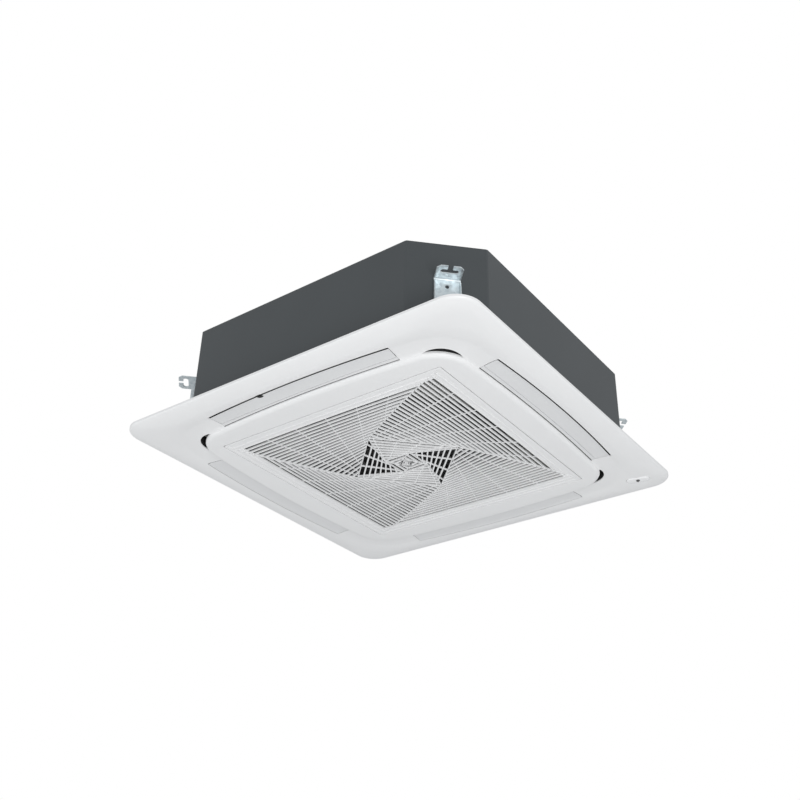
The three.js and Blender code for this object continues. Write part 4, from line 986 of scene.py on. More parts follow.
class Repeater:
    """Repeats geometry with Geometry Nodes, then keeps the result as a plain mesh."""

    def __init__(self) -> None:
        """Makes the two trees."""
        self.turn_tree = self.turns()
        self.scatter_tree = self.scatter()

    @staticmethod
    def tree(name: str, own: str, kind: str) -> bpy.types.NodeTree:
        """Starts a tree with a geometry, one input of its own and a material.

        Args:
            name: The tree's name.
            own: The name of its own input.
            kind: The type of that input.

        Returns:
            The tree, with its sockets only.
        """
        tree = bpy.data.node_groups.new(name, "GeometryNodeTree")
        face = tree.interface
        for socket, way, what in (("Geometry", "INPUT", "Geometry"), (own, "INPUT", kind),
                                  ("Finish", "INPUT", "Material"),
                                  ("Geometry", "OUTPUT", "Geometry")):
            face.new_socket(socket, in_out=way, socket_type=f"NodeSocket{what}")
        return tree

    def turns(self) -> bpy.types.NodeTree:
        """A tree that copies a piece round +Z by equal turns and gives it a material.

        Returns:
            The tree, with the inputs Geometry, Count and Finish.
        """
        tree = self.tree("QuarterTurns", "Count", "Int")
        write = NodeWriter(tree)
        given, result = write.add("NodeGroupInput"), write.add("NodeGroupOutput")
        line = write.add("GeometryNodeMeshLine", mode="OFFSET")
        line.inputs["Offset"].default_value = (0, 0, 0)
        write.wire(given.outputs["Count"], line.inputs["Count"])
        index = write.add("GeometryNodeInputIndex")
        share = write.add("ShaderNodeMath", operation="DIVIDE")
        write.wire(index.outputs[0], share.inputs[0])
        write.wire(given.outputs["Count"], share.inputs[1])
        angle = write.add("ShaderNodeMath", operation="MULTIPLY")
        angle.inputs[1].default_value = 2 * math.pi
        write.wire(share.outputs["Value"], angle.inputs[0])
        spin = write.add("ShaderNodeCombineXYZ")
        write.wire(angle.outputs["Value"], spin.inputs["Z"])
        place = write.add("GeometryNodeInstanceOnPoints")
        write.wire(line.outputs["Mesh"], place.inputs["Points"])
        write.wire(given.outputs["Geometry"], place.inputs["Instance"])
        write.wire(spin.outputs["Vector"], place.inputs["Rotation"])
        self.finish(write, place.outputs["Instances"], given, result)
        return tree

    def scatter(self) -> bpy.types.NodeTree:
        """A tree that puts a model on each point, its +Z along the point's facing.

        Returns:
            The tree, with the inputs Geometry, Model and Finish.
        """
        tree = self.tree("FacingCopies", "Model", "Object")
        write = NodeWriter(tree)
        given, result = write.add("NodeGroupInput"), write.add("NodeGroupOutput")
        model = write.add("GeometryNodeObjectInfo", transform_space="ORIGINAL")
        write.wire(given.outputs["Model"], model.inputs["Object"])
        facing = write.add("GeometryNodeInputNamedAttribute", data_type="FLOAT_VECTOR")
        facing.inputs["Name"].default_value = "facing"
        align = write.add("FunctionNodeAlignEulerToVector", axis="Z")
        write.wire(facing.outputs["Attribute"], align.inputs["Vector"])
        place = write.add("GeometryNodeInstanceOnPoints")
        write.wire(given.outputs["Geometry"], place.inputs["Points"])
        write.wire(model.outputs["Geometry"], place.inputs["Instance"])
        write.wire(align.outputs["Rotation"], place.inputs["Rotation"])
        self.finish(write, place.outputs["Instances"], given, result)
        return tree

    @staticmethod
    def finish(write: NodeWriter, copies: bpy.types.NodeSocket, given: bpy.types.Node,
               result: bpy.types.Node) -> None:
        """Makes the copies real and sets their material.

        Args:
            write: The writer of the tree.
            copies: The instances.
            given: The tree's input node.
            result: The tree's output node.
        """
        real = write.add("GeometryNodeRealizeInstances")
        paint = write.add("GeometryNodeSetMaterial")
        write.wire(copies, real.inputs["Geometry"])
        write.wire(real.outputs["Geometry"], paint.inputs["Geometry"])
        write.wire(given.outputs["Finish"], paint.inputs["Material"])
        write.wire(paint.outputs["Geometry"], result.inputs["Geometry"])

    @staticmethod
    def run(obj: bpy.types.Object, tree: bpy.types.NodeTree, **values: object) -> bpy.types.Object:
        """Runs a tree on an object and keeps the result.

        Args:
            obj: The object.
            tree: The tree.
            **values: The tree's named inputs.

        Returns:
            The same object, with a plain mesh.
        """
        step = obj.modifiers.new("repeat", "NODES")
        step.node_group = tree
        for item in tree.interface.items_tree:
            if item.in_out == "INPUT" and item.name in values:
                step[item.identifier] = values[item.name]
        return bake(obj)

    def round_z(self, obj: bpy.types.Object, slot: str, count: int = 4) -> bpy.types.Object:
        """Copies an object round +Z."""
        return self.run(obj, self.turn_tree, Count=count, Finish=LIBRARY.get(slot))

    def on_points(self, name: str, places: Iterable[tuple[Point, Point]],
                  model: bpy.types.Object, slot: str) -> bpy.types.Object:
        """Puts a model at each place, along its facing.

        Args:
            name: The new object's name.
            places: Pairs of a position in millimetres and a direction.
            model: The object to copy, which stays.
            slot: The finish of the copies.

        Returns:
            One object with all the copies.
        """
        pairs = list(places)
        mesh = bpy.data.meshes.new(name)
        mesh.from_pydata([tuple(c * MM for c in p) for p, _ in pairs], [], [])
        facing = mesh.attributes.new("facing", "FLOAT_VECTOR", "POINT")
        facing.data.foreach_set("vector", [c for _, way in pairs for c in way])
        return self.run(linked(name, mesh), self.scatter_tree, Model=model,
                        Finish=LIBRARY.get(slot))


LIBRARY = FinishLibrary()
REPEAT = Repeater()


# ---- Sub-assemblies -----------------------------------------------------------------------


class Assembly:
    """A group of pieces that are made and placed together."""

    body = "unit"

    def keep(self, obj: bpy.types.Object, slot: str, replaces: Sequence[str] = (),
             body: str | None = None) -> bpy.types.Object:
        """Parents a finished piece to its body and hides the nodes it stands for.

        Args:
            obj: The piece.
            slot: Its material slot.
            replaces: The nodes it stands for.
            body: The body it rides on, or the assembly's own.

        Returns:
            The piece.
        """
        if not obj.data.materials:
            obj.data.materials.append(LIBRARY.get(slot))
        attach(obj, body or self.body)
        if replaces:
            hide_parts(*replaces)
        log.info("%s: %d faces, rides on %s", obj.name, len(obj.data.polygons), body or self.body)
        return obj

    def make(self) -> None:
        """Makes every piece of the assembly."""
        raise NotImplementedError


def channel_depth(u: float) -> float:
    """Depth of the outlet channel, from its inner edge at 0 to its outer edge at 1."""
    middle = PANEL.crease_drop - PANEL.channel_rise
    share = abs(2 * u - 1)
    if u > 0.5:
        return middle + PANEL.channel_rise * share ** 5
    return middle + PANEL.channel_rise / 2 * share ** 2


def band(inner: float, inner_bow: float, outer: float, outer_bow: float,
         ends: tuple[float, float], steps: int = 24) -> list[Flat]:
    """A bowed band in plan on the front side, between two radii at its ends.

    Args:
        inner: Its inner edge at the ends.
        inner_bow: How far the middle of that edge stands out.
        outer: Its outer edge at the ends.
        outer_bow: How far the middle of that edge stands out.
        ends: Half its length at the inner and the outer edge.
        steps: Steps along it.

    Returns:
        The outline's points.
    """
    shares = [2 * i / steps - 1 for i in range(steps + 1)]
    far = [(ends[1] * s, -outer - bulge(outer_bow, s, 1)) for s in shares]
    near = [(ends[0] * s, -inner - bulge(inner_bow, s, 1)) for s in reversed(shares)]
    return far + near


@dataclass
class Panel(Assembly):
    """The white moulding that closes the ceiling, its receiver window and its lens."""

    sizes: PanelSizes = PANEL
    receiver: ReceiverSizes = RECEIVER

    RIM_STEPS, CHANNEL_STEPS, RING_STEPS = 14, 14, 9
    EYE = ((0, -23.4), (1.7, -23.0), (3.0, -22.2), (3.9, -20.9), (4.3, -19.4), (4.3, -13.8),
           (0, -13.8))
    THROUGH = (-PANEL.face - 5, 5.0)  # Heights of a tool that cuts right through.

    def face_rows(self) -> list[Row]:
        """The visible side of the section, from the rim to the grille's opening.

        Returns:
            Rows of half size, corner radius, depth, bulge and share of the sides' lean.
        """
        p = self.sizes
        rows = [(p.half, p.corner, 0.0, 0.0, 0), (p.half, p.corner, p.edge - 1.0, 0.0, 0)]
        rim = [(p.half, p.corner, p.edge, 0.0, 0), (p.half - 5, p.corner - 4, 9.0, 0.0, 0),
               (p.crest, p.corner, p.crest_drop, 0.0, 0),
               (p.crease, p.crease_corner, p.crease_drop, FLAP.outer_bow / 3, 0)]
        rows += self.curve(rim, self.RIM_STEPS)
        outer, inner = FLAP.slot_outer, p.ring_root
        for i in range(1, self.CHANNEL_STEPS + 1):
            u = 1 - i / self.CHANNEL_STEPS
            half = inner + (outer - inner) * u
            corner = (half - (p.ring - p.ring_corner)) * (1 - u) + (p.crease_corner - 10) * u
            bow = p.side_bow * (1 - u) + FLAP.outer_bow * u
            rows.append((half, corner, channel_depth(u), bow, 1 - u))
        root = p.crease_drop - p.channel_rise / 2
        for i in range(1, self.RING_STEPS + 1):
            a = QUARTER * i / self.RING_STEPS
            half = p.ring - p.ring_round * (1 - math.cos(a))
            depth = root + p.ring_step + (p.face - root - p.ring_step) * math.sin(a)
            rows.append((half, half - (p.ring - p.ring_corner), depth, p.side_bow, 1))
        rows += [(p.opening + 26, 60.0, p.face, p.side_bow * 0.5, 1),
                 (p.opening + 1, 7.0, p.face, 0.0, 0), (p.opening, 6.0, p.face - 1.0, 0.0, 0),
                 (p.opening, 6.0, p.face - p.lip, 0.0, 0)]
        return rows

    @staticmethod
    def curve(keys: Sequence[Row], steps: int) -> list[Row]:
        """A smooth run through key rows.

        Args:
            keys: Rows that the run passes through.
            steps: Steps from the first to the last.

        Returns:
            The run's rows.
        """
        ends = [tuple(2 * a - b for a, b in zip(keys[0], keys[1])), *keys,
                tuple(2 * a - b for a, b in zip(keys[-1], keys[-2]))]
        rows = []
        for i in range(steps + 1):
            s = (len(keys) - 1) * i / steps
            k = min(int(s), len(keys) - 2)
            t = s - k
            w = (-0.5 * t + t * t - 0.5 * t ** 3, 1 - 2.5 * t * t + 1.5 * t ** 3,
                 0.5 * t + 2 * t * t - 1.5 * t ** 3, -0.5 * t * t + 0.5 * t ** 3)
            rows.append(tuple(sum(w[n] * ends[k + n][c] for n in range(4))
                              for c in range(len(keys[0]))))
        return rows

    def back_rows(self) -> list[Row]:
        """The hidden side of the section, from the opening's wall back to the rim.

        Returns:
            Rows as in face_rows.
        """
        p, s = self.sizes, self.sizes.skin
        corner = p.ring - p.ring_corner
        return [
            (p.opening + s, 8.4, p.face - p.lip, 0.0, 0), (p.opening + s, 8.4, p.face - s, 0.0, 0),
            (p.ring - p.ring_round, p.ring - p.ring_round - corner, p.face - s, p.side_bow, 1),
            (p.ring - 1 - s, p.ring_corner - 1 - s, 17 - s, p.side_bow, 1),
            (390.0, 96.0, p.crease_drop - p.channel_rise - s, 9.5, 0),
            (p.crease, p.crease_corner, p.crease_drop - s, FLAP.outer_bow / 3, 0),
            (p.crest, p.corner - s, p.crest_drop - s * 1.5, 0.0, 0),
            (p.half - 10, p.corner - 10, p.edge, 0.0, 0), (p.half - 10, p.corner - 10, 0.0, 0.0, 0),
        ]

    def receiver_outline(self, grow: float) -> list[Flat]:
        """The receiver's window in plan.

        Args:
            grow: How far it is grown all round.

        Returns:
            The outline's points, in place.
        """
        r = self.receiver
        radius = r.radius + grow
        flat = (arc(r.run, 0, radius, -QUARTER, QUARTER, 16)
                + arc(-r.run, 0, radius, QUARTER, 3 * QUARTER, 16))
        out = [turned(a, b, math.radians(r.turn)) for a, b in flat]
        return [(a + r.x, b + r.y) for a, b in out]

    def crescent(self, grow: float = 0.0) -> list[Flat]:
        """A corner outlet in plan, at the corner +X, -Y: a sickle between two arcs.

        Args:
            grow: How far it is grown all round.

        Returns:
            The outline's points.
        """
        p = self.sizes
        centre = p.ring - p.ring_corner
        inner, reach = p.ring_corner + 0.3 - grow, p.ring_corner + p.outlet_reach + grow
        span = math.radians(p.outlet_span + grow / 2)
        tip_x, tip_y = inner * math.cos(span), inner * math.sin(span)
        shift = (reach ** 2 - inner ** 2) / (2 * (reach - tip_x))
        sweep = math.atan2(tip_y, tip_x - shift)
        along = -QUARTER / 2
        cx, cy = centre + shift * math.cos(along), -centre + shift * math.sin(along)
        return (arc(cx, cy, reach - shift, along - sweep, along + sweep, 20)
                + arc(centre, -centre, inner, along + span, along - span, 20)[1:-1])

    def grooves(self, name: str, low: float, high: float) -> MeshMaker:
        """The parting grooves along the ring, or the dark fill of painted shade in them.

        Args:
            name: The piece's name.
            low: Its lower height.
            high: Its upper height.

        Returns:
            The piece, with a groove on each side.
        """
        p, f = self.sizes, FLAP
        tool = MeshMaker(name)
        half = f.slot_half - f.slant
        for q in range(4):
            bow = p.side_bow * p.lean[q]
            rise = bulge(bow, half, p.ring - p.ring_corner)
            start, end = (p.ring + edge + rise for edge in p.groove)
            line = band(start, bow - rise, end, bow - rise, (half, half))
            tool.prism([turned(x, y, q * QUARTER) for x, y in line], low, high)
        return tool

    def groove_ends(self, low: float) -> MeshMaker:
        """The shallow grooves that carry on an outlet's ends to the ring.

        Args:
            low: Their lower height, clear of the face.

        Returns:
            The piece, with two grooves on each side.
        """
        p, f = self.sizes, FLAP
        tool = MeshMaker("groove_ends")
        half = f.slot_half - f.slant
        start, end = p.ring + p.groove[1], f.inner
        for q in range(4):
            for side in (-1, 1):
                x = sorted((side * (half - p.groove_end), side * half))
                block = [(x[0], -end), (x[1], -end), (x[1], -start), (x[0], -start)]
                tool.prism([turned(a, b, q * QUARTER) for a, b in block], low, p.groove_floor)
        return tool

    def moulding(self) -> bpy.types.Object:
        """The moulding with its outlets, grooves, finger notch and hinge holes cut.

        Returns:
            The moulding.
        """
        loops = [square_loop(h, max(c, 2.0), -d, b, lean=own)
                 for h, c, d, b, own in self.face_rows() + self.back_rows()]
        obj = MeshMaker("panel_moulding").loft(loops, ring=True).build()
        tool = MeshMaker("panel_cuts")
        (low, high), p, f = self.THROUGH, self.sizes, FLAP
        slot = band(f.inner - f.tuck, f.inner_bow, f.slot_outer, f.outer_bow,
                    (f.slot_half - f.slant, f.slot_half))
        for q in range(4):
            for outline in (slot, self.crescent()):
                tool.prism([turned(x, y, q * QUARTER) for x, y in outline], low, high)
        tool.prism(self.receiver_outline(self.receiver.gap), low, high)
        edge = f.slot_outer + bulge(f.outer_bow, 90 / f.slot_half, 1)
        notch = MeshMaker("notch").box(f.notch[:2], (-edge - 1.2, -edge + 0.8), (low, high))
        pins = MeshMaker("pins")
        for side in (-1, 1):
            pins.lathe(rod(side * 303.0, side * 311.0, p.hinge_hole), (0, *p.hinge), "x", 16)
        for part in (tool, notch, pins, self.grooves("grooves", low, high), self.groove_ends(low)):
            cut(obj, part.build())
        return self.shade_lips_like_flaps(obj)

    def shade_lips_like_flaps(self, obj: bpy.types.Object) -> bpy.types.Object:
        """Gives the fixed lip between a groove and its flap the flaps' darker plastic, painted
        shade.

        Args:
            obj: The moulding.

        Returns:
            The same object.
        """
        p, f = self.sizes, FLAP
        for slot in ("white_plastic", "flap_plastic"):
            obj.data.materials.append(LIBRARY.get(slot))
        for face in obj.data.polygons:
            x, y = (c / MM for c in face.center[:2])
            for q in range(4):
                t, r = turned(x, y, -q * QUARTER)
                rise = bulge(p.side_bow * p.lean[q], t, p.ring - p.ring_corner)
                start = p.ring + p.groove[1] + rise
                end = f.inner + bulge(f.inner_bow, t, f.slot_half)
                if abs(t) < f.slot_half - f.slant and start < -r < end:
                    # These faces take the darker flap plastic: painted shade.
                    face.material_index = 1
        return obj

    def corner_duct(self) -> bpy.types.Object:
        """The dark collars behind the corner outlets: painted shade in the openings.

        Returns:
            One object with all four.
        """
        outer, inner = self.crescent(5.0), self.crescent(0.8)
        piece = MeshMaker("corner_collars")
        piece.loft([[(x, y, z) for x, y in ring] for ring, z in
                    ((outer, -12.6), (outer, 12.0), (inner, 12.0), (inner, -12.6))], ring=True)
        # Near-black: painted shade in the corner outlets.
        return REPEAT.round_z(piece.build(), "dark_foam")

    def window(self) -> bpy.types.Object:
        """The receiver's window with the hole for its eye and the small dot.

        Returns:
            The window.
        """
        r = self.receiver
        plate = MeshMaker("receiver_window").prism(self.receiver_outline(0), r.low, r.high)
        plate = plate.build("window_plastic")
        below = r.low - 2.4
        hole = MeshMaker("hole").lathe(rod(below, r.hole_floor, r.hole), (r.x, r.y, 0), steps=32)
        far = turned(r.dot_away, 0.0, math.radians(r.turn))
        hole.lathe(rod(below, r.dot_floor, r.dot), (r.x + far[0], r.y + far[1], 0), steps=20)
        soften(plate, 1.2, 3)
        return cut(plate, hole.build())

    def make(self) -> None:
        """Makes the moulding with its dark collars and groove fill, both painted shade, the window
        and its eye.
        """
        self.keep(self.moulding(), "white_plastic", ["panel_frame"])
        # The collars' near-black is painted shade in the outlets.
        self.keep(self.corner_duct(), "dark_foam")
        # A near-black fill in the parting grooves: painted shade.
        self.keep(self.grooves("groove_seals", *self.sizes.shade_band).build(), "dark_foam")
        self.keep(self.window(), "white_plastic", ["receiver_plate"])
        r = self.receiver
        lens = MeshMaker("receiver_eye").lathe(self.EYE, (r.x, r.y, 0), steps=40)
        self.keep(lens.build(), "lens", ["receiver_lens"])


@dataclass
class Flap(Assembly):
    """One air flap, drawn on the front side and turned to its own.

    Attributes:
        side: The side it is on.
        quarter: Quarter turns from the front to that side.
    """

    side: str
    quarter: int
    sizes: FlapSizes = FLAP

    REST = {"front": -3.2, "right": -1.8}  # How far a blade's outer edge lies out of line.
    LONG, WIDE = 48, 18  # Steps along a blade and across it.
    EDGE = 0.008  # How far its rounded edges stand out, as a share of its width.

    def __post_init__(self) -> None:
        """Works out the body it rides on and how its outer edge lies."""
        self.body = f"flap_{self.side}_body"
        self.shift = self.REST.get(self.side, 0.0)

    def at(self, share: float, u: float, lift: float, inset: float = 0.0) -> Point:
        """A point of the blade.

        Args:
            share: Place from end to end, from -1 to 1.
            u: Place from the inner edge to the outer edge, from 0 to 1.
            lift: Height above the lower face.
            inset: How far all four edges are drawn in.

        Returns:
            The point in millimetres, on the front side.
        """
        f = self.sizes
        inner = f.inner + bulge(f.inner_bow, share, 1) + inset
        outer = f.outer + bulge(f.outer_bow, share, 1) + self.shift - inset
        slot_inner = PANEL.ring_root + bulge(PANEL.side_bow * PANEL.lean[self.quarter], share, 1)
        slot_outer = f.slot_outer + bulge(f.outer_bow, share, 1)
        r = inner + (outer - inner) * u
        depth = channel_depth((r - slot_inner) / (slot_outer - slot_inner))
        tuck = f.turn_up * max(0.0, 1 - u / 0.22) ** 2
        half = f.half - f.slant * (1 - u) - inset
        return (half * share, -r, -depth + lift + tuck)

    def layer(self, name: str, low: float, high: float, inset: float) -> MeshMaker:
        """A curved layer of the blade with rounded edges.

        Args:
            name: The piece's name.
            low: Its lower height above the blade's lower face.
            high: Its upper height.
            inset: How far its edges are drawn in.

        Returns:
            The piece.
        """
        round_ = min(0.35, (high - low) / 3)
        across = [i / self.WIDE for i in range(self.WIDE + 1)]
        section = [(u, low) for u in across]
        section += [(1 + self.EDGE, low + round_), (1 + self.EDGE, high - round_)]
        section += [(u, high) for u in reversed(across)]
        section += [(-self.EDGE, high - round_), (-self.EDGE, low + round_)]
        return MeshMaker(name).loft([[self.at(2 * i / self.LONG - 1, u, lift, inset)
                                      for u, lift in section] for i in range(self.LONG + 1)])

    def finger_pad(self) -> MeshMaker:
        """The dark pad in the finger notch at the blade's outer edge: painted shade in the recess.

        Returns:
            The pad, with a rounded inner side.
        """
        f = self.sizes
        start, end, deep = f.notch
        outer = 1 + self.EDGE
        loops = []
        for i in range(13):
            share = (start + (end - start) * i / 12) / f.half
            inner = outer - deep / (f.outer - f.inner) * math.sqrt(1 - 0.9 * (i / 6 - 1) ** 4)
            line = [inner + (outer - inner) * k / 6 for k in range(7)]
            loops.append([self.at(share, u, -0.12) for u in line]
                         + [self.at(share, u, 0.7) for u in reversed(line)])
        return MeshMaker("finger_pad").loft(loops)

    def pivots(self) -> MeshMaker:
        """The webs at both ends with the pins that the blade swings on.

        Returns:
            The piece, on the front side.
        """
        f = self.sizes
        end, line = f.half - f.slant, (0, -f.pivot, -f.pivot_drop)
        arm = MeshMaker("pivots")
        for side in (-1, 1):
            web = sorted((side * (end - 3.5), side * (end - 0.3)))
            arm.lathe(rod(*web, f.web), line, "x", 24)
            arm.lathe(rod(side * (end - 1), side * (end + f.pin_reach), f.pin), line, "x", 24)
            arm.box(web, (-f.pivot - f.web, -f.pivot + f.web), (f.web_low, -f.pivot_drop))
        return arm

    def make(self) -> None:
        """Makes the blade with its pivots, its dark layer and, in front, the dark pad in the finger
        notch, both painted shade.
        """
        f = self.sizes
        angle = self.quarter * QUARTER
        blade = self.layer(f"air_flap_{self.side}", 0.0, f.shell, 0.0).merge(self.pivots())
        # A near-black layer over the blade: painted shade, so the gaps round it look dark.
        shade_layer = self.layer(f"flap_lining_{self.side}", f.shell, f.shell + f.shade_layer, 0.4)
        for piece in (blade, shade_layer):
            piece.mapped(lambda p: (*turned(p[0], p[1], angle), p[2]))
        # The blade takes the darker flap plastic: painted shade.
        self.keep(blade.build(), "flap_plastic", [f"flap_{self.side}"])
        if self.side == "front":
            # A near-black pad in the finger notch: painted shade.
            self.keep(self.finger_pad().build(), "dark_foam")
        self.keep(shade_layer.build(), "dark_foam")


@dataclass
class WhirlGrille(Assembly):
    """The intake grille: three nested squares of slats that turn towards the middle.

    Attributes:
        low: Height of the grille's face, flush with the panel's.
    """

    sizes: WhirlSizes = WHIRL
    net: NetSizes = NET
    low: float = -PANEL.face

    body = "grille"
    STEP = 1.5  # How finely a slat or a rib is followed.

    def inner(self, half: float) -> float:
        """Distance of the inner square's corners from the middle of a level."""
        return half * self.sizes.ratio * math.sqrt(2)

    def seam(self, half: float, share: float) -> Flat:
        """A point on the seam, from the square's corner to the inner square's corner."""
        across = (half - self.inner(half)) * share ** self.sizes.curl
        return (-half + across, -half + half * share)

    def inside(self, half: float, x: float, y: float) -> bool:
        """Whether a point lies in the front sector of a level.

        Args:
            half: Half the level's size.
            x: The point's place across.
            y: Its place towards the middle.

        Returns:
            True inside.
        """
        if y < -half or abs(x) > half or (x < 0 and x + y > -self.inner(half)):
            return False
        share = (y + half) / half
        if share > 1 or x < self.seam(half, share)[0] - 1e-6:
            return False
        right = (half - x) / half
        return right > 1 or y <= self.seam(half, max(right, 0.0))[0] + 1e-6

    def slat(self, half: float, share: float) -> list[Flat]:
        """The line of a slat, a little bowed, from the seam to where it leaves the sector.

        Args:
            half: Half the level's size.
            share: Where it starts, from the square's side at 0 to the middle at 1.

        Returns:
            The line's points.
        """
        g = self.sizes
        start = -math.radians(g.turn) * share ** g.growth
        x, y = self.seam(half, share)
        _, length = self.trace(half, x, y, lambda s: start)
        bow = math.radians(g.bow) * length / 600
        line, _ = self.trace(half, x, y, lambda s: start + bow * (s / max(length, 1) - 0.46))
        return line

    def trace(self, half: float, x: float, y: float,
              way: Callable[[float], float]) -> tuple[list[Flat], float]:
        """Follows a direction from a point until it leaves the sector.

        Args:
            half: Half the level's size.
            x: Where it starts across.
            y: Where it starts towards the middle.
            way: The direction's angle after a length.

        Returns:
            A few points of the line, and its length.
        """
        step, s = self.STEP, 0.0
        line = [(x, y)]
        while s < half * 3:
            a = way(s)
            x, y = x + step * math.cos(a), y + step * math.sin(a)
            s += step
            if s > 4 and not self.inside(half, x, y):
                break
            line.append((x, y))
        keep = max(2, min(14, len(line) // 12 + 2))
        picked = [line[round(i * (len(line) - 1) / (keep - 1))] for i in range(keep)]
        return picked, s

    def section(self, wide: float, lift: float = 0.0) -> list[Flat]:
        """A bar's section with rounded lower edges.

        Args:
            wide: Its width.
            lift: How far it stops short of the grille's face.

        Returns:
            The section's points, with the top at 0.
        """
        w, r = wide / 2, 0.5
        deep = self.sizes.blade - lift
        return [(-w, 0), (-w, -deep + r), (-w + r * 0.3, -deep + r * 0.3), (-w + r, -deep),
                (w - r, -deep), (w - r * 0.3, -deep + r * 0.3), (w, -deep + r), (w, 0)]

    def bar(self, piece: MeshMaker, line: Sequence[Flat], wide: float, lift: float = 0.0) -> None:
        """Adds a bar along a line in plan."""
        top = self.low + self.sizes.blade
        piece.sweep([(x, y, top) for x, y in line], self.section(wide, lift))

    def rib_lines(self, half: float, starts: Sequence[float]) -> list[list[Flat]]:
        """Cross ribs that run from the square's side towards one point and stop at the seams.

        Args:
            half: Half the level's size.
            starts: Where they start, as shares of that.

        Returns:
            Both ends of each rib.
        """
        hub = tuple(share * half for share in self.sizes.hub)
        lines = []
        for t in starts:
            x, y = t * half, -half + 0.5
            d = math.hypot(hub[0] - x, hub[1] - y)
            ux, uy = (hub[0] - x) / d, (hub[1] - y) / d
            run = [(x, y)]
            s = 0.0
            while s < d - 4:
                s += self.STEP
                px, py = x + ux * s, y + uy * s
                if self.inside(half, px, py):
                    run.append((px, py))
                elif len(run) > 1:
                    break
                else:
                    run = [(px, py)]
            if len(run) > 8:
                lines.append([run[0], run[-1]])
        return lines

    def sector(self, level: int, ribs: Sequence[float]) -> bpy.types.Object:
        """One sector's slats, ribs and seam, copied to all four sides.

        Args:
            level: How many squares lie round it.
            ribs: Where its cross ribs start.

        Returns:
            The whole level.
        """
        g = self.sizes
        half = (g.half - g.border) * g.ratio ** level
        count = round(half / g.pitch)
        piece = MeshMaker(f"whirl_level_{level + 1}")
        for i in range(1, count):
            self.bar(piece, self.slat(half, i / count), g.slat)
        wide, lift = (g.rib, 0.6) if level else (g.rib / 2, 1.8)
        for line in self.rib_lines(half, ribs):
            self.bar(piece, line, wide, lift)
        self.bar(piece, [self.seam(half, i / 12) for i in range(13)], g.rib)
        self.bar(piece, [(-self.inner(half), 0), (0, -self.inner(half))], g.rib)
        angle = -math.pi / 4 * level
        piece.mapped(lambda p: (*turned(p[0], p[1], angle), p[2]))
        return REPEAT.round_z(piece.build(), "white_plastic")

    def border(self) -> bpy.types.Object:
        """The frame round the slats, with hinge pins, catch rails and the centre squares.

        Returns:
            One object with all of them.
        """
        g, low, high = self.sizes, self.low, self.low + self.sizes.depth
        inner = g.half - g.border
        rows = [(g.half - 0.8, 4.2, low), (g.half, 5.0, low + 0.8), (g.half, 5.0, high),
                (inner, 2.0, high), (inner, 2.0, low + 0.8), (inner + 0.8, 2.8, low)]
        piece = MeshMaker("grille_border").loft(
            [square_loop(h, c, z, 0.0, 4, 6) for h, c, z in rows], ring=True)
        backing = [(inner + 0.5, low + 1.3), (inner + 0.5, low + g.blade),
                   (inner - 22, low + g.blade), (inner - 22, low + 1.3)]
        piece.loft([square_loop(h, 2.0, z, 0.0, 4, 6) for h, z in backing], ring=True)
        for step in range(3):
            tile = inner * g.ratio ** 3 * (1 - 0.36 * step) + 0.6
            section = [(tile, low), (tile, low + g.blade), (tile - 1.7, low + g.blade),
                       (tile - 1.7, low)]
            piece.loft([[(*turned(x * size, y * size, -math.pi / 4 * 3), z)
                         for x, y in ((-1, -1), (1, -1), (1, 1), (-1, 1))]
                        for size, z in section], ring=True)
        for side in (-1, 1):
            start, end, radius = g.pin
            piece.lathe(rod(side * start, side * end, radius), (0, *PANEL.hinge), "x", 20)
            for edge in (-1, 1):
                x = side * g.rail[0] + edge * g.rail[1]
                piece.box((x - 1.5, x + 1.5), (-303, -286), (high - 1, high + 4))
        return piece.build()

    def make(self) -> None:
        """Makes the border, the levels of slats and the filter's net."""
        levels = [self.border()]
        levels += [self.sector(level, ribs) for level, ribs in enumerate(self.sizes.ribs)]
        self.keep(levels[0], "white_plastic", ["intake_grille"])
        for part in levels[1:]:
            self.keep(part, "white_plastic")
        self.filter_net()

    def filter_net(self) -> None:
        """The air filter's net, thread by thread, copied at a half turn."""
        n = self.net
        count = int(2 * n.half / n.pitch)
        piece = MeshMaker("filter_threads")
        for i in range(count + 1):
            t = -n.half + 2 * n.half * i / count
            piece.box((t - n.half_width, t + n.half_width), (-n.half, n.half),
                      (n.height - n.half_depth, n.height + n.half_depth))
        net = REPEAT.round_z(piece.build(), "black_plastic", 2)
        self.keep(net, "black_plastic", ["filter_net"])


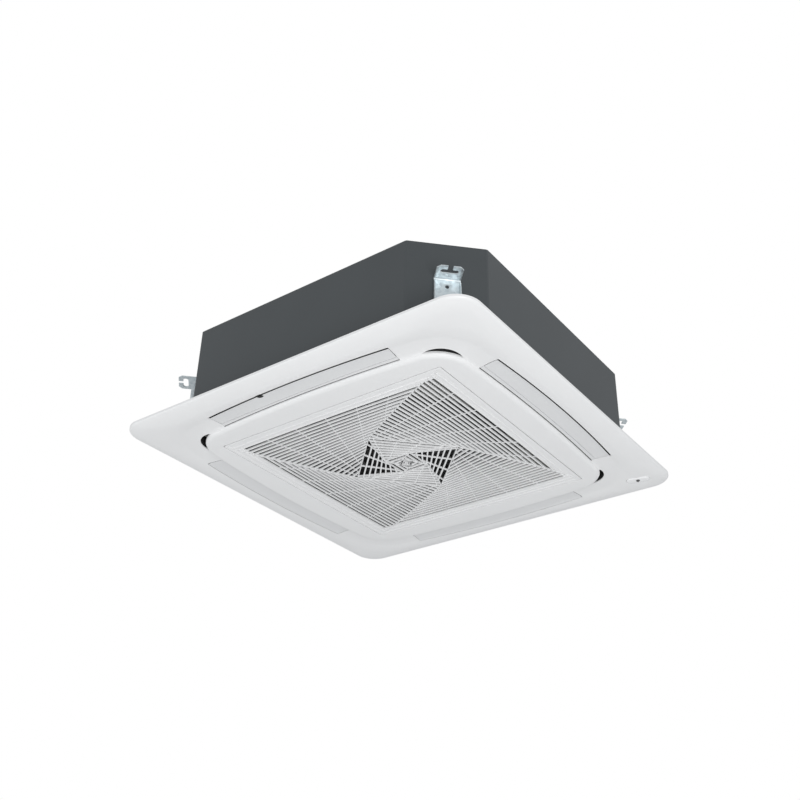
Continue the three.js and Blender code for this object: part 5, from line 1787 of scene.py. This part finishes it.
@dataclass
class SteelBody(Assembly):
    """The body above the ceiling: shell with rounded bends, top plate with beads, screws."""

    sizes: BodySizes = BODY

    ROUND_BEAD = ((-8, -0.6), (-5, 0.9), (-2, 1.6), (2, 1.6), (5, 0.9), (8, -0.6))
    LONG_BEAD = ((-7, -0.6), (7, -0.6), (4.5, 0.9), (2, 1.5), (-2, 1.5), (-4.5, 0.9))
    PAN_HEAD = ((0, -1.0), (3.2, -1.0), (3.4, 0.4), (3.1, 1.3), (2.2, 2.0), (1.0, 2.3), (0, 2.35))
    RECESS_LONG, RECESS_WIDE = (-1.9, 1.9), (-0.35, 0.35)

    def shell(self) -> bpy.types.Object:
        """The bent wall, with its holes for pipes and drain.

        Returns:
            The wall.
        """
        b, p = self.sizes, PIPES
        outer = [(0.0, b.base), (0.0, b.top - 1.8)]
        loops = [octagon_loop(i, b.bend - i, z) for i, z in outer]
        loops += [octagon_loop(b.sheet, b.bend - b.sheet, z) for _, z in reversed(outer)]
        obj = MeshMaker("steel_shell").loft(loops, ring=True).build()
        tool = MeshMaker("holes")
        for y, (radius, z) in ((p.drain_y, p.drain), (p.y, p.gas), (p.y, p.liquid)):
            tool.lathe(rod(-b.half - 5, -b.half + 20, radius + p.gap), (0, y, z), "x", 40)
        return cut(obj, tool.build())

    def top(self) -> bpy.types.Object:
        """The top plate with two pressed rings round the motor and beads between them.

        Returns:
            The plate.
        """
        b = self.sizes
        piece = MeshMaker("top_sheet")
        under = b.top - b.sheet
        rows = [(0.6, under), (0.0, under + 0.5), (0.0, b.top - 0.5), (0.6, b.top)]
        piece.loft([octagon_loop(i, b.bend - i, z) for i, z in rows])
        for radius in b.beads:
            piece.lathe([(radius + x, b.top + z) for x, z in self.ROUND_BEAD], closed=True,
                        steps=120)
        ends = (b.beads[0] + 17, b.beads[1] - 16)
        for i in range(8):
            angle = math.pi / 8 + i * math.pi / 4
            piece.sweep([(*turned(r, 0, angle), b.top) for r in ends], self.LONG_BEAD)
        return piece.build()

    def screw(self) -> bpy.types.Object:
        """A pan-head screw with a cross recess, its head along +Z.

        Returns:
            The screw, at the origin.
        """
        obj = MeshMaker("screw_model").lathe(self.PAN_HEAD, steps=28).build()
        for x, y in ((self.RECESS_LONG, self.RECESS_WIDE), (self.RECESS_WIDE, self.RECESS_LONG)):
            cut(obj, MeshMaker("recess").box(x, y, (1.2, 3.0)).build())
        return obj

    def screw_places(self) -> list[tuple[Point, Point]]:
        """Where the body's screws sit: low on three sides, on top, and at the hangers.

        Returns:
            Pairs of a position and the direction that the screw faces.
        """
        places: list[tuple[Point, Point]] = []
        b = self.sizes
        up = (0, 0, 1)
        for q in range(4):
            out = (*turned(0, -1, q * QUARTER), 0.0)
            for t in (-270, -90, 90, 270) if q < 3 else ():
                places.append(((*turned(t, -b.half, q * QUARTER), b.low_row), out))
            for t in (-240, 0, 240):
                places.append(((*turned(t, -b.half + 12, q * QUARTER), b.top), up))
        for i in range(4):
            angle = math.pi / 4 + i * QUARTER
            places.append(((*turned(82, 0, angle), b.top), up))
            out = (*turned(1, 0, angle), 0.0)
            for t in (-14, 14):
                place = turned(HANGER.foot + HANGER.sheet, t, angle)
                places.append(((*place, b.hanger_row), out))
        return places

    def make(self) -> None:
        """Makes the shell, the top and all screws."""
        self.keep(self.shell(), "dark_steel", ["cabinet_shell"])
        self.keep(self.top(), "dark_steel", ["top_plate"])
        model = self.screw()
        screws = REPEAT.on_points("body_screws", self.screw_places(), model, "dark_steel")
        bpy.data.objects.remove(model)
        self.keep(screws, "dark_steel")


@dataclass
class Hanger(Assembly):
    """A bent sheet-steel hanger on one of the cut corners.

    Attributes:
        corner: The corner it is on.
        angle: The direction of that corner, from +X.
    """

    corner: str
    angle: float
    sizes: HangerSizes = HANGER

    def __post_init__(self) -> None:
        """Works out half its width, and the heights of a tool that cuts through its ear."""
        self.half = self.sizes.width / 2
        self.through = (self.sizes.ear - 3, self.sizes.ear + 6)

    def profile(self) -> list[Flat]:
        """The bent sheet seen from the side.

        Returns:
            Points of distance from the middle and height.
        """
        h = self.sizes
        angles = [QUARTER * i / 8 for i in range(1, 9)]
        inner = [(h.reach, h.ear), (h.foot + h.sheet + h.bend, h.ear)]
        inner += [(h.foot + h.sheet + h.bend * (1 - math.sin(a)),
                   h.ear - h.bend * (1 - math.cos(a))) for a in angles]
        inner.append((h.foot + h.sheet, h.base))
        reach = h.bend + h.sheet
        outer = [(h.foot, h.base), (h.foot, h.ear - h.bend)]
        outer += [(h.foot + reach * (1 - math.cos(a)), h.ear - h.bend + reach * math.sin(a))
                  for a in angles]
        outer.append((h.reach, h.ear + h.sheet))
        return inner + outer

    def openings(self) -> list[MeshMaker]:
        """What is cut out: the rod's slot, its way in with the ear's corners, and the holes.

        Returns:
            The tools.
        """
        h, half = self.sizes, self.half
        slot = MeshMaker("slot")
        run, wide = h.slot_length / 2 - h.slot_width / 2, h.slot_width / 2
        slot.prism(arc(h.slot, run, wide, 0, math.pi, 12)
                   + arc(h.slot, -run, wide, math.pi, 2 * math.pi, 12), *self.through)
        throat = MeshMaker("throat").box((h.slot, h.reach + 2), (-h.throat / 2, h.throat / 2),
                                         self.through)
        for side in (-1, 1):
            corner = [(x, side * y) for x, y in
                      ((h.reach - h.clip, half + 2), (h.reach - h.clip, half),
                       (h.reach, half - h.clip), (h.reach + 2, half - h.clip),
                       (h.reach + 2, half + 2))]
            throat.prism(corner if side < 0 else corner[::-1], *self.through)
        holes = MeshMaker("holes")
        holes.lathe(rod(h.foot - 3, h.foot + 8, h.key[1]), (0, 0, h.key[0]), "x", 28)
        for y in h.marks:
            holes.box((h.foot + h.sheet - 0.2, h.foot + 9), (y - h.mark_half, y + h.mark_half),
                      (h.ear - 7.6, h.ear - 4.4))
        holes.lathe(rod(h.ear - 4, h.ear + 6, 1.6), (h.slot - 14, 1.0, 0), "z", 20)
        return [slot, throat, holes]

    def rails(self) -> MeshMaker:
        """The two flanges that stiffen the foot.

        Returns:
            The piece.
        """
        h = self.sizes
        tip = h.foot + h.flange
        outline = [(h.foot + 1.2, h.base), (tip, h.base), (tip, h.ear - 24), (tip - 3, h.ear - 14),
                   (h.foot + 4.5, h.ear - 3), (h.foot + 1.2, h.ear - 3)]
        rails = MeshMaker("rails")
        for side in (-1, 1):
            walls = sorted((side * self.half, side * (self.half - h.sheet)))
            rails.loft([[(x, y, z) for x, z in outline] for y in walls])
        return rails

    def make(self) -> None:
        """Makes the hanger and turns it to its corner."""
        section = self.profile()
        piece = MeshMaker(f"rod_hanger_{self.corner}")
        walls = (-self.half, self.half)
        obj = piece.loft([[(x, y, z) for x, z in section] for y in walls]).build()
        for tool in self.openings():
            cut(obj, tool.build())
        soften(obj, self.sizes.edge)
        join(obj, soften(self.rails().build(), 0.5))
        obj.data.transform(Matrix.Rotation(self.angle, 4, "Z"))
        self.keep(obj, "zinc_steel", [f"hanger_{self.corner}"])


@dataclass
class AirMover(Assembly):
    """Bell mouth, fan and nut, all turned bodies but for the blades."""

    sizes: FanSizes = FAN

    STEPS = 128
    # The hub's dome in section, as radii and depths below the back plate: outside, then inside.
    HUB = ((92, 0), (88, 18), (82, 40), (76, 54), (67, 64), (FAN.bore, 64), (FAN.bore, 82),
           (16, 82), (16, 67), (70, 67), (79, 56), (85, 42), (91, 19), (FAN.dome, FAN.wall))
    ROOM = (98.0, 76.5)  # Inner radius and foot of the room in which the blades lie.

    @staticmethod
    def flare(r0: float, z0: float, r1: float, z1: float, steps: int = 14) -> list[Flat]:
        """A quarter curve in section, upright at its start and level at its end."""
        return [(r1 + (r0 - r1) * math.cos(QUARTER * i / steps),
                 z0 + (z1 - z0) * math.sin(QUARTER * i / steps)) for i in range(steps + 1)]

    def mouth(self) -> bpy.types.Object:
        """The bell mouth under the drain pan.

        Returns:
            The mouth with its flange.
        """
        (r0, z0, r1, z1), wall = self.sizes.mouth, self.sizes.mouth_wall
        flange = self.sizes.mouth_flange
        inside, outside = self.flare(r0, z0, r1, z1), self.flare(r0 + wall, z0, r1, z1 + wall)
        profile = [*inside, (flange, z1), (flange, z1 + wall), *reversed(outside)]
        return MeshMaker("inlet_mouth").lathe(profile, closed=True, steps=self.STEPS).build()

    def blades(self) -> bpy.types.Object:
        """The backward-curved blades, each trimmed to the room between ring and back plate.

        Returns:
            One object with all blades.
        """
        f = self.sizes
        ring = self.flare(f.eye + 1.5, f.base, f.rim - 1, f.base + f.ring_rise - 1.5)[4:]
        radius, foot = self.ROOM
        room = MeshMaker("fan_room").lathe(
            [(radius, foot), (f.eye + 2, foot), *ring, (f.rim - 1, f.top - 1.5),
             (radius, f.top - 1.5)], closed=True, steps=self.STEPS).build()
        front, back = [], []
        for i in range(21):
            share = i / 20
            r = f.root + (f.rim - f.root) * share
            angle = -math.radians(f.sweep) * share ** f.sweep_growth
            half = f.blade_half * (0.45 + 0.55 * math.sin(math.pi * (0.15 + 0.75 * share)))
            x, y = r * math.cos(angle), r * math.sin(angle)
            lean = angle - f.lean
            front.append((x - half * math.sin(lean), y + half * math.cos(lean)))
            back.append((x + half * math.sin(lean), y - half * math.cos(lean)))
        blade = MeshMaker("fan_blade").prism(front + back[::-1], f.base - 5, f.top + 5).build()
        return REPEAT.round_z(cut(blade, room, "INTERSECT"), "grey_plastic", f.blades)

    def fan(self) -> bpy.types.Object:
        """The fan: hub with its dome, inlet ring and blades.

        Returns:
            The whole wheel.
        """
        f = self.sizes
        ring_top = f.base + f.ring_rise
        piece = MeshMaker("fan_wheel")
        inner = self.flare(f.eye + f.wall, f.base, f.rim, ring_top - f.wall)[::-1]
        shroud = self.flare(f.eye, f.base, f.rim, ring_top) + inner
        piece.lathe(shroud, closed=True, steps=self.STEPS)
        dome = [(r, f.top - drop) for r, drop in ((f.rim, 0), *self.HUB, (f.rim, f.wall))]
        piece.lathe(dome, closed=True, steps=self.STEPS)
        obj = piece.build()
        join(obj, self.blades())
        return obj

    def make(self) -> None:
        """Makes the mouth, the fan and its nut."""
        f = self.sizes
        self.keep(self.mouth(), "black_plastic", ["bell_mouth"])
        self.keep(self.fan(), "grey_plastic", ["turbo_fan"], "fan")
        nut = MeshMaker("hub_nut").prism(ring_points(f.nut_radius, 6), *f.nut).build()
        bore = MeshMaker("bore").lathe(rod(90, 120, f.bore), steps=40)
        self.keep(soften(cut(nut, bore.build()), 0.6), "bare_steel", ["fan_nut"], "fan")


@dataclass
class Pipework(Assembly):
    """What comes out of the side: two refrigerant stubs with flare nuts and the drain socket."""

    sizes: PipeSizes = PIPES

    # The drain socket in section, as radius and X.
    SPOUT = ((12, -465), (15, -465), (16, -463.5), (16, -461), (17.2, -460), (17.2, -458),
             (16, -456), (16, -448), (17.2, -446), (16, -443), (16, -424), (24, -423.3),
             (24, -420.3), (16, -420.3), (16, -402.2), (ON_AXIS, -402.2), (ON_AXIS, -408.2),
             (12, -408.2))

    def stub(self, name: str, node: str, radius: float, z: float) -> None:
        """A copper pipe from the coil, round its bend and out through the side.

        Args:
            name: The piece's name.
            node: The node it stands for.
            radius: The pipe's radius.
            z: Its height.
        """
        p = self.sizes
        x0, y0 = p.coil[0] + radius + 2, p.coil[1]
        path: list[Point] = []
        for i in range(13):
            t = i / 12
            a, b, c = (1 - t) ** 2, 2 * t * (1 - t), t * t
            path.append((a * x0 + b * x0 + c * (x0 - p.y + y0), a * y0 + b * p.y + c * p.y, z))
        path += [(x, p.y, z) for x in (-360.0, -BODY.half, p.end)]
        piece = MeshMaker(name).sweep(path, ring_points(radius, 24)).build()
        bore = MeshMaker("bore").lathe(rod(p.end - 4, p.end + p.length, radius - 1),
                                       (0, p.y, z), "x", 32)
        self.keep(cut(piece, bore.build()), "copper_tube", [node])

    def nut(self, name: str, node: str, radius: float, z: float) -> None:
        """A flare nut: hexagon with turned ends, cone and bore.

        Args:
            name: The piece's name.
            node: The node it stands for.
            radius: The radius of its pipe.
            z: Its height.
        """
        p = self.sizes
        tip, back, line = p.end, p.end + p.length, (0, p.y, z)
        hexagon = ring_points(radius * 1.75, 6)
        obj = MeshMaker(name).loft([[(x, p.y + a, z + b) for a, b in hexagon]
                                    for x in (tip, back)]).build()
        turned_ends = [(0, tip), (radius * 1.6, tip), (radius * 1.8, tip + 2),
                       (radius * 1.8, back - 2), (radius * 1.6, back), (0, back)]
        cut(obj, MeshMaker("turned").lathe(turned_ends, line, "x", 48).build(), "INTERSECT")
        clear = radius + 0.3
        cone = [(clear, back - 1), (radius * 1.35, back - 1), (radius * 1.35, back + 5),
                (radius * 1.2, back + 10), (clear, back + 10)]
        cone_obj = MeshMaker("cone").lathe(cone, line, "x", 40, closed=True).build()
        cut(obj, MeshMaker("bore").lathe(rod(tip - 8, back + 22, clear), line, "x", 40).build())
        join(obj, cone_obj)
        self.keep(obj, "brass", [node])

    def make(self) -> None:
        """Makes both stubs with their nuts, and the drain socket."""
        p = self.sizes
        self.stub("gas_stub", "gas_pipe", *p.gas)
        self.stub("liquid_stub", "liquid_pipe", *p.liquid)
        self.nut("gas_nut", "gas_flare_nut", *p.gas)
        self.nut("liquid_nut", "liquid_flare_nut", *p.liquid)
        piece = MeshMaker("drain_spout").lathe(self.SPOUT, (0, p.drain_y, p.drain[1]), "x", 64,
                                               closed=True)
        self.keep(piece.build(), "grey_plastic", ["drain_socket"])


# ---- Stage --------------------------------------------------------------------------------


@dataclass(frozen=True)
class CameraPlace:
    """Where the photograph was taken from: degrees, metres and pixels."""

    azimuth: float = 36.89
    elevation: float = -30.82
    roll: float = 1.38
    distance: float = 2.32372
    target: Point = (0.1408, -0.21854, -0.006)
    focal_px: float = 1068.46
    frame_px: float = 800.0


@dataclass
class Studio:
    """Camera, lamps, plain floor and white surround."""

    place: CameraPlace = CameraPlace()

    SENSOR = 36.0
    AIM = (0, 0, 0.05)
    FLOOR = -2.4
    LAMPS = (("key", (2.2, -1.6, -1.5), 1.6, 36.0), ("fill", (-1.9, -2.4, -0.9), 1.8, 17.0),
             ("top", (0.4, 0.6, 2.6), 2.0, 30.0))  # Name, place, size and power.

    def camera(self) -> None:
        """Makes the camera at the photograph's viewing angle."""
        place = self.place
        data = bpy.data.cameras.new("camera")
        data.sensor_width = self.SENSOR
        data.lens = place.focal_px * self.SENSOR / place.frame_px
        obj = linked("camera", data)
        a, e, r = (math.radians(v) for v in (place.azimuth, place.elevation, place.roll))
        back = Vector((math.sin(a) * math.cos(e), -math.cos(a) * math.cos(e), math.sin(e)))
        right = Vector((math.cos(a), math.sin(a), 0))
        up = back.cross(right)
        right, up = right * math.cos(r) + up * math.sin(r), up * math.cos(r) - right * math.sin(r)
        turn = Matrix((right, up, back)).transposed().to_4x4()
        obj.matrix_world = Matrix.Translation(Vector(place.target) + back * place.distance) @ turn
        data.clip_start, data.clip_end = 0.05, 60.0
        bpy.context.scene.camera = obj

    def lamp(self, name: str, place: Point, size: float, power: float) -> None:
        """A round lamp that looks at the unit.

        Args:
            name: The lamp's name.
            place: Where it stands, in metres.
            size: Its width in metres.
            power: Its power in watts.
        """
        data = bpy.data.lights.new(name, "AREA")
        data.energy, data.size, data.shape = power, size, "DISK"
        obj = linked(name, data)
        way = Vector(self.AIM) - Vector(place)
        obj.location = place
        obj.rotation_euler = way.to_track_quat("-Z", "Y").to_euler()

    def floor(self) -> None:
        """A plain pale floor, well below the unit."""
        mesh = bpy.data.meshes.new("studio_floor")
        work = bmesh.new()
        bmesh.ops.create_grid(work, x_segments=8, y_segments=8, size=9.0)
        bmesh.ops.translate(work, verts=work.verts, vec=(0, 0, self.FLOOR))
        work.to_mesh(mesh)
        work.free()
        material = bpy.data.materials.new("studio_floor")
        material.use_nodes = True
        shader = material.node_tree.nodes["Principled BSDF"]
        write = NodeWriter(material.node_tree)
        noise = write.add("ShaderNodeTexNoise")
        noise.inputs["Scale"].default_value = 2.0
        place = write.add("ShaderNodeTexCoord")
        write.wire(place.outputs["Object"], noise.inputs["Vector"])
        mix = write.add("ShaderNodeMix", data_type="RGBA")
        mix.inputs["A"].default_value = (0.84, 0.84, 0.84, 1)
        mix.inputs["B"].default_value = (0.87, 0.87, 0.87, 1)
        write.wire(noise.outputs["Fac"], mix.inputs["Factor"])
        write.wire(mix.outputs["Result"], shader.inputs["Base Color"])
        shader.inputs["Roughness"].default_value = 0.9
        mesh.materials.append(material)
        linked("studio_floor", mesh)

    def surround(self) -> None:
        """White behind the unit, a softer level for the light that reaches it."""
        world = bpy.data.worlds.new("surround")
        bpy.context.scene.world = world
        world.use_nodes = True
        tree = world.node_tree
        tree.nodes.clear()
        write = NodeWriter(tree)
        output = write.add("ShaderNodeOutputWorld")
        seen, lit = write.add("ShaderNodeBackground"), write.add("ShaderNodeBackground")
        seen.inputs["Color"].default_value = (1, 1, 1, 1)
        lit.inputs["Color"].default_value = (0.97, 0.985, 1.0, 1)
        lit.inputs["Strength"].default_value = 0.62
        path = write.add("ShaderNodeLightPath")
        mix = write.add("ShaderNodeMixShader")
        write.wire(path.outputs["Is Camera Ray"], mix.inputs[0])
        write.wire(lit.outputs["Background"], mix.inputs[1])
        write.wire(seen.outputs["Background"], mix.inputs[2])
        write.wire(mix.outputs["Shader"], output.inputs["Surface"])

    def make(self) -> None:
        """Sets the whole stage."""
        bpy.context.scene.view_settings.view_transform = "Standard"
        self.camera()
        self.floor()
        self.surround()
        for lamp in self.LAMPS:
            self.lamp(*lamp)


# ---- The unit -----------------------------------------------------------------------------


class Cassette:
    """The whole unit."""

    SIDES = ("front", "right", "back", "left")
    CORNERS = ("right_back", "left_back", "left_front", "right_front")

    def dress_nodes(self) -> None:
        """Gives every solid that stays in view its procedural finish."""
        slots = {part["node"]: part["material_slot"] for part in frame["record"]["subparts"]}
        for name, obj in frame["nodes"].items():
            obj.data.materials.clear()
            obj.data.materials.append(LIBRARY.get(slots[name]))

    def make(self) -> None:
        """Makes all sub-assemblies."""
        self.dress_nodes()
        assemblies: list[Assembly] = [Panel(), WhirlGrille(), SteelBody(), AirMover(), Pipework()]
        assemblies += [Flap(side, q) for q, side in enumerate(self.SIDES)]
        assemblies += [Hanger(corner, (q + 0.5) * QUARTER) for q, corner in enumerate(self.CORNERS)]
        for assembly in assemblies:
            assembly.make()


def main() -> None:
    """Builds the scene."""
    logging.basicConfig(level=logging.INFO, format="%(name)s: %(message)s")
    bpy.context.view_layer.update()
    Studio().make()
    Cassette().make()


if __name__ == "__main__":
    main()
